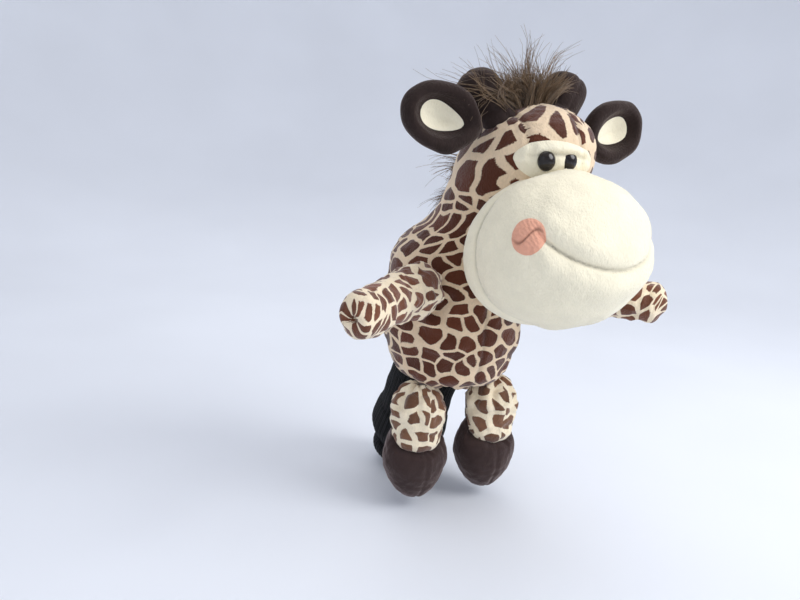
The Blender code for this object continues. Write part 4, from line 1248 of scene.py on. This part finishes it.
def lock(chance, root, heading, length, count, spread, curl, fall, thick):
    """A lock of strands that run together and part a little towards their tips."""
    guide = grown_strand(chance, root, heading, length, thick, curl, fall, Vector((0, 0, 0)), 9)
    side = heading.orthogonal().normalized()
    other = heading.normalized().cross(side)
    strands = []
    for _ in range(count):
        turn = chance.uniform(0, 2 * math.pi)
        reach = spread * math.sqrt(chance.random())
        off = (side * math.cos(turn) + other * math.sin(turn)) * reach
        stray = Vector((chance.gauss(0, 1), chance.gauss(0, 1), chance.gauss(0, 1))) * length * 0.09
        short = chance.uniform(0.6, 1.0)
        strand = []
        for index, (place, radius) in enumerate(guide):
            share = index / 8 * short
            base = share * 8
            low = min(7, int(base))
            point = guide[low][0].lerp(guide[low + 1][0], base - low)
            point = point + off * (1 - 0.45 * share) + stray * share * share
            above = max(0.0, point.z - HAIR_BEND)
            point.z += HAIR_RISE * (1 - math.exp(-above / HAIR_RISE)) - above
            strand.append((point, radius))
        strands.append(strand)
    return strands


def make_mane(settings, trunk):
    """The nape's pile, from the crown to the root of the neck, and the tuft between the horns."""
    material = hair_material("loose pile", settings.hair)
    surface = surface_of(trunk)
    chance = random.Random(7)
    strands = []
    for index in range(settings.mane_locks):
        share = chance.random()
        height = (136 - 92 * share) * MM
        x = NECK.x + (7 - 5 * share + chance.gauss(0, 4.5)) * MM
        hit, normal, _, _ = surface.ray_cast(Vector((x, 0.25, height)), Vector((0, -1, 0)))
        side = Vector((chance.gauss(-1.1, 0.5), chance.gauss(0.0, 0.2), chance.gauss(0.1 - 0.7 * share, 0.3)))
        wild = index % 4 == 0
        length = (chance.uniform(38, 56) if wild else chance.triangular(22, 40, 31)) * MM
        count = 7 if wild else 26
        strands += lock(
            chance, hit - normal * 1.5 * MM, normal + side, length, count, 3.2 * MM, 0.34, 0.22, settings.strand
        )
    mane = strand_piece("mane_hair", strands, material)
    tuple(NECK_BEND[0])
    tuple(NECK_BEND[1])
    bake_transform(mane)
    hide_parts("mane", "mane_tape")

    strands = []
    low, high = BOXES["forelock"]
    crown = Vector(((low.x + high.x) / 2 + 1 * MM, (low.y + high.y) / 2, 0.3))
    for index in range(settings.tuft_locks):
        angle = chance.uniform(0, 2 * math.pi)
        reach = math.sqrt(chance.random())
        spot = crown + Vector((reach * math.cos(angle) * 21, reach * math.sin(angle) * 9, 0)) * MM
        hit, normal, _, _ = surface.ray_cast(spot, Vector((0, 0, -1)))
        fan = reach * math.cos(angle)
        heading = Vector((fan * 0.9 + chance.gauss(-0.15, 0.25), chance.gauss(0.1, 0.25), 1.0))
        length = chance.triangular(20, 40, 30) * MM
        count = 28
        curl = 0.30
        if index % 3 == 0:
            heading = Vector((chance.uniform(-1.9, 0.7), chance.gauss(0.1, 0.25), chance.uniform(0.6, 1.2)))
            length = chance.uniform(50, 84) * MM
            count = 8
            curl = 0.5
        strands += lock(
            chance, hit - normal * 1.5 * MM, heading, length, count, 3.4 * MM, curl, 0.06, settings.strand
        )
    tuft = strand_piece("forelock_hair", strands, material)
    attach(tuft, "head")
    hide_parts("forelock")


def make_stage(settings):
    """A round pale floor that curves up into a wall, soft lights, and the camera."""
    bm = bmesh.new()
    floor = CAD_BOX[0][2] - 0.5 * MM
    bend = 1.3
    profile = [(0.0, 0.0), (settings.stage_radius - bend, 0.0)]
    profile += [
        (settings.stage_radius - bend + bend * math.sin(turn), bend * (1 - math.cos(turn)))
        for turn in (math.radians(degrees) for degrees in range(10, 91, 10))
    ]
    profile.append((settings.stage_radius, 2.2))
    verts = [bm.verts.new((reach, 0, floor + height)) for reach, height in profile]
    edges = [bm.edges.new(pair) for pair in zip(verts, verts[1:])]
    bmesh.ops.spin(bm, geom=verts + edges, cent=(0, 0, 0), axis=(0, 0, 1), angle=2 * math.pi, steps=64, use_merge=True)
    bmesh.ops.remove_doubles(bm, verts=bm.verts[:], dist=0.01 * MM)
    bmesh.ops.recalc_face_normals(bm, faces=bm.faces[:])
    floor_piece = object_from("studio_bowl", bm, stage_material(settings.wall))
    if floor_piece.data.polygons[0].normal.z < 0:
        floor_piece.data.flip_normals()
    lights = (
        ("key", Vector((0.75, -0.85, 0.75)), 0.9, settings.key_power),
        ("fill", Vector((-1.0, -0.7, 0.35)), 1.1, settings.fill_power),
        ("top", Vector((0.1, 0.25, 1.3)), 1.2, settings.top_power),
        ("rim", Vector((0.3, 1.0, 0.7)), 0.9, settings.rim_power),
    )
    aim = Vector((0, -40, 0)) * MM
    for name, place, width, power in lights:
        lamp = bpy.data.lights.new(name, "AREA")
        lamp.shape = "DISK"
        lamp.size = width
        lamp.energy = power
        obj = bpy.data.objects.new(name, lamp)
        obj.location = place
        obj.rotation_euler = (aim - place).to_track_quat("-Z", "Y").to_euler()
        bpy.context.scene.collection.objects.link(obj)
    world = bpy.data.worlds.new("soft room")
    world.use_nodes = True
    background = world.node_tree.nodes["Background"]
    background.inputs["Color"].default_value = (0.97, 0.97, 1.0, 1)
    background.inputs["Strength"].default_value = settings.room
    bpy.context.scene.world = world
    bpy.context.scene.view_settings.view_transform = "Standard"
    camera = bpy.data.cameras.new("camera")
    camera.lens = settings.lens
    camera.clip_start = 0.01
    obj = bpy.data.objects.new("camera", camera)
    turn, rise, roll = (math.radians(angle) for angle in (-25.87, 12.27, 3.71))
    back = Vector((math.sin(turn) * math.cos(rise), -math.cos(turn) * math.cos(rise), math.sin(rise)))
    level = Vector((math.cos(turn), math.sin(turn), 0))
    upright = back.cross(level)
    right = level * math.cos(roll) + upright * math.sin(roll)
    up = back.cross(right)
    obj.matrix_world = Matrix.Translation(settings.camera_place) @ Matrix((right, up, back)).transposed().to_4x4()
    bpy.context.scene.collection.objects.link(obj)
    bpy.context.scene.camera = obj


# The add-on


def colour_setting(name, description, default):
    return FloatVectorProperty(
        name=name, description=description, default=default, size=3, min=0.0, max=1.0, subtype="COLOR"
    )


class PlushSettings(bpy.types.PropertyGroup):
    """Colours and print of the plush."""

    # The body's ground is its own cream darkened with painted shade, because the body lies in shadow; the head and
    # neck share it.
    ground: colour_setting("Ground", "Colour between the patches of the body", (0.81, 0.63, 0.43))
    patch: colour_setting("Patch", "Colour of the body's patches", (0.095, 0.026, 0.011))
    cell: FloatProperty(
        name="Patch size", description="Width of one patch with its gap", default=0.0178, unit="LENGTH"
    )
    arm_ground: colour_setting("Arm ground", "Colour between the patches of the arms", (0.90, 0.76, 0.55))
    arm_patch: colour_setting("Arm patch", "Colour of the arms' patches", (0.17, 0.062, 0.033))
    arm_cell: FloatProperty(
        name="Arm patch size", description="Width of a patch on an arm", default=0.016, unit="LENGTH"
    )
    leg_ground: colour_setting("Leg ground", "Colour between the patches of the legs", (0.92, 0.80, 0.59))
    leg_patch: colour_setting("Leg patch", "Colour of the legs' patches", (0.17, 0.080, 0.043))
    leg_cell: FloatProperty(
        name="Leg patch size", description="Width of a patch on a leg", default=0.0165, unit="LENGTH"
    )
    ivory: colour_setting("Ivory", "Colour of muzzle, brow and ear linings", (0.93, 0.86, 0.66))
    pink: colour_setting("Cheek", "Colour of the cheek patches", (0.83, 0.42, 0.29))
    dark: colour_setting("Ears and horns", "Colour of ears and horns", (0.028, 0.018, 0.016))
    hoof: colour_setting("Hooves", "Colour of the hooves", (0.042, 0.026, 0.024))
    knit: colour_setting("Knit", "Colour of the sleeve and the pocket", (0.008, 0.008, 0.009))
    cheek_radius: FloatProperty(
        name="Cheek radius", description="Half the width of a cheek patch", default=0.0118, unit="LENGTH"
    )
    ear_length: FloatProperty(
        name="Ear length", description="From the ear's root to its tip", default=0.066, unit="LENGTH"
    )
    ear_width: FloatProperty(
        name="Ear width", description="Across the ear at its widest", default=0.051, unit="LENGTH"
    )


class HairSettings(bpy.types.PropertyGroup):
    """Mane and forelock."""

    hair: colour_setting("Hair", "Colour of the loose pile", (0.165, 0.105, 0.055))
    mane_locks: IntProperty(name="Mane locks", description="Locks of hair down the nape", default=84)
    tuft_locks: IntProperty(name="Tuft locks", description="Locks of hair between the horns", default=90)
    strand: FloatProperty(
        name="Strand", description="Radius of a strand at its root", default=0.0003, unit="LENGTH"
    )


class StageSettings(bpy.types.PropertyGroup):
    """Floor, lights and camera."""

    wall: colour_setting("Stage", "Colour of the floor and wall", (0.80, 0.83, 0.89))
    stage_radius: FloatProperty(
        name="Stage radius", description="Radius of the round stage", default=2.2, unit="LENGTH"
    )
    key_power: FloatProperty(name="Key", description="Power of the key light", default=12.0, unit="POWER")
    fill_power: FloatProperty(name="Fill", description="Power of the fill light", default=0.6, unit="POWER")
    top_power: FloatProperty(name="Top", description="Power of the top light", default=2.4, unit="POWER")
    rim_power: FloatProperty(name="Rim", description="Power of the light behind", default=2.0, unit="POWER")
    room: FloatProperty(name="Room light", description="Strength of the light all round", default=0.70)
    lens: FloatProperty(
        name="Lens", description="Focal length of the camera", default=32.834, subtype="DISTANCE_CAMERA"
    )
    camera_place: FloatVectorProperty(
        name="Camera", description="Where the camera stands", default=(-0.3193, -0.5509, 0.1005), size=3, unit="LENGTH"
    )


class COVER_OT_body(bpy.types.Operator):
    """Make the plush of body, neck and head"""

    bl_idname = "cover.body"
    bl_label = "Body and Head"

    def execute(self, context):
        make_trunk(context.scene.cover_plush)
        return {"FINISHED"}


class COVER_OT_muzzle(bpy.types.Operator):
    """Make the muzzle and its cheek patches"""

    bl_idname = "cover.muzzle"
    bl_label = "Muzzle"

    def execute(self, context):
        make_cheeks(context.scene.cover_plush, make_muzzle(context.scene.cover_plush))
        return {"FINISHED"}


class COVER_OT_face(bpy.types.Operator):
    """Make the brow patch and the eyes"""

    bl_idname = "cover.face"
    bl_label = "Brow and Eyes"

    def execute(self, context):
        make_brow(context.scene.cover_plush, bpy.data.objects["body_and_head_plush"])
        make_eyes()
        return {"FINISHED"}


class COVER_OT_ears(bpy.types.Operator):
    """Make the ears and their linings"""

    bl_idname = "cover.ears"
    bl_label = "Ears"

    def execute(self, context):
        make_ears(context.scene.cover_plush)
        return {"FINISHED"}


class COVER_OT_horns(bpy.types.Operator):
    """Make the horns"""

    bl_idname = "cover.horns"
    bl_label = "Horns"

    def execute(self, context):
        make_horns(context.scene.cover_plush)
        return {"FINISHED"}


class COVER_OT_arms(bpy.types.Operator):
    """Make the arms"""

    bl_idname = "cover.arms"
    bl_label = "Arms"

    def execute(self, context):
        make_arms(context.scene.cover_plush)
        return {"FINISHED"}


class COVER_OT_legs(bpy.types.Operator):
    """Make the legs"""

    bl_idname = "cover.legs"
    bl_label = "Legs"

    def execute(self, context):
        make_legs(context.scene.cover_plush)
        return {"FINISHED"}


class COVER_OT_hooves(bpy.types.Operator):
    """Make the hooves"""

    bl_idname = "cover.hooves"
    bl_label = "Hooves"

    def execute(self, context):
        make_hooves(context.scene.cover_plush)
        return {"FINISHED"}


class COVER_OT_sleeve(bpy.types.Operator):
    """Make the knitted sleeve and its hem"""

    bl_idname = "cover.sleeve"
    bl_label = "Sleeve"

    def execute(self, context):
        make_sleeve(context.scene.cover_plush)
        return {"FINISHED"}


class COVER_OT_inside(bpy.types.Operator):
    """Finish the pocket, the elastic and the eye washers"""

    bl_idname = "cover.inside"
    bl_label = "Pocket and Trims"

    def execute(self, context):
        make_inside(context.scene.cover_plush)
        return {"FINISHED"}


class COVER_OT_hair(bpy.types.Operator):
    """Make the mane and the forelock"""

    bl_idname = "cover.hair"
    bl_label = "Mane"

    def execute(self, context):
        make_mane(context.scene.cover_hair, bpy.data.objects["body_and_head_plush"])
        return {"FINISHED"}


class COVER_OT_stage(bpy.types.Operator):
    """Make the floor, the lights and the camera"""

    bl_idname = "cover.stage"
    bl_label = "Stage"

    def execute(self, context):
        make_stage(context.scene.cover_stage)
        return {"FINISHED"}


OPERATORS = (
    COVER_OT_stage,
    COVER_OT_body,
    COVER_OT_muzzle,
    COVER_OT_face,
    COVER_OT_ears,
    COVER_OT_horns,
    COVER_OT_arms,
    COVER_OT_legs,
    COVER_OT_hooves,
    COVER_OT_sleeve,
    COVER_OT_inside,
    COVER_OT_hair,
)
SETTINGS = (("cover_plush", PlushSettings), ("cover_hair", HairSettings), ("cover_stage", StageSettings))


class COVER_PT_panel(bpy.types.Panel):
    """The head cover's pieces and settings"""

    bl_idname = "COVER_PT_panel"
    bl_label = "Head Cover"
    bl_space_type = "VIEW_3D"
    bl_region_type = "UI"
    bl_category = "Head Cover"

    def draw(self, context):
        for operator in OPERATORS:
            self.layout.operator(operator.bl_idname)
        for name, group in SETTINGS:
            column = self.layout.column()
            for setting in group.__annotations__:
                column.prop(getattr(context.scene, name), setting)


def register():
    for name, group in SETTINGS:
        bpy.utils.register_class(group)
        setattr(bpy.types.Scene, name, PointerProperty(type=group))
    for operator in OPERATORS:
        bpy.utils.register_class(operator)
    bpy.utils.register_class(COVER_PT_panel)


def unregister():
    bpy.utils.unregister_class(COVER_PT_panel)
    for operator in reversed(OPERATORS):
        bpy.utils.unregister_class(operator)
    for name, group in reversed(SETTINGS):
        delattr(bpy.types.Scene, name)
        bpy.utils.unregister_class(group)


def main():
    register()
    for operator in OPERATORS:
        area, name = operator.bl_idname.split(".")
        getattr(getattr(bpy.ops, area), name)()


if __name__ == "__main__":
    main()
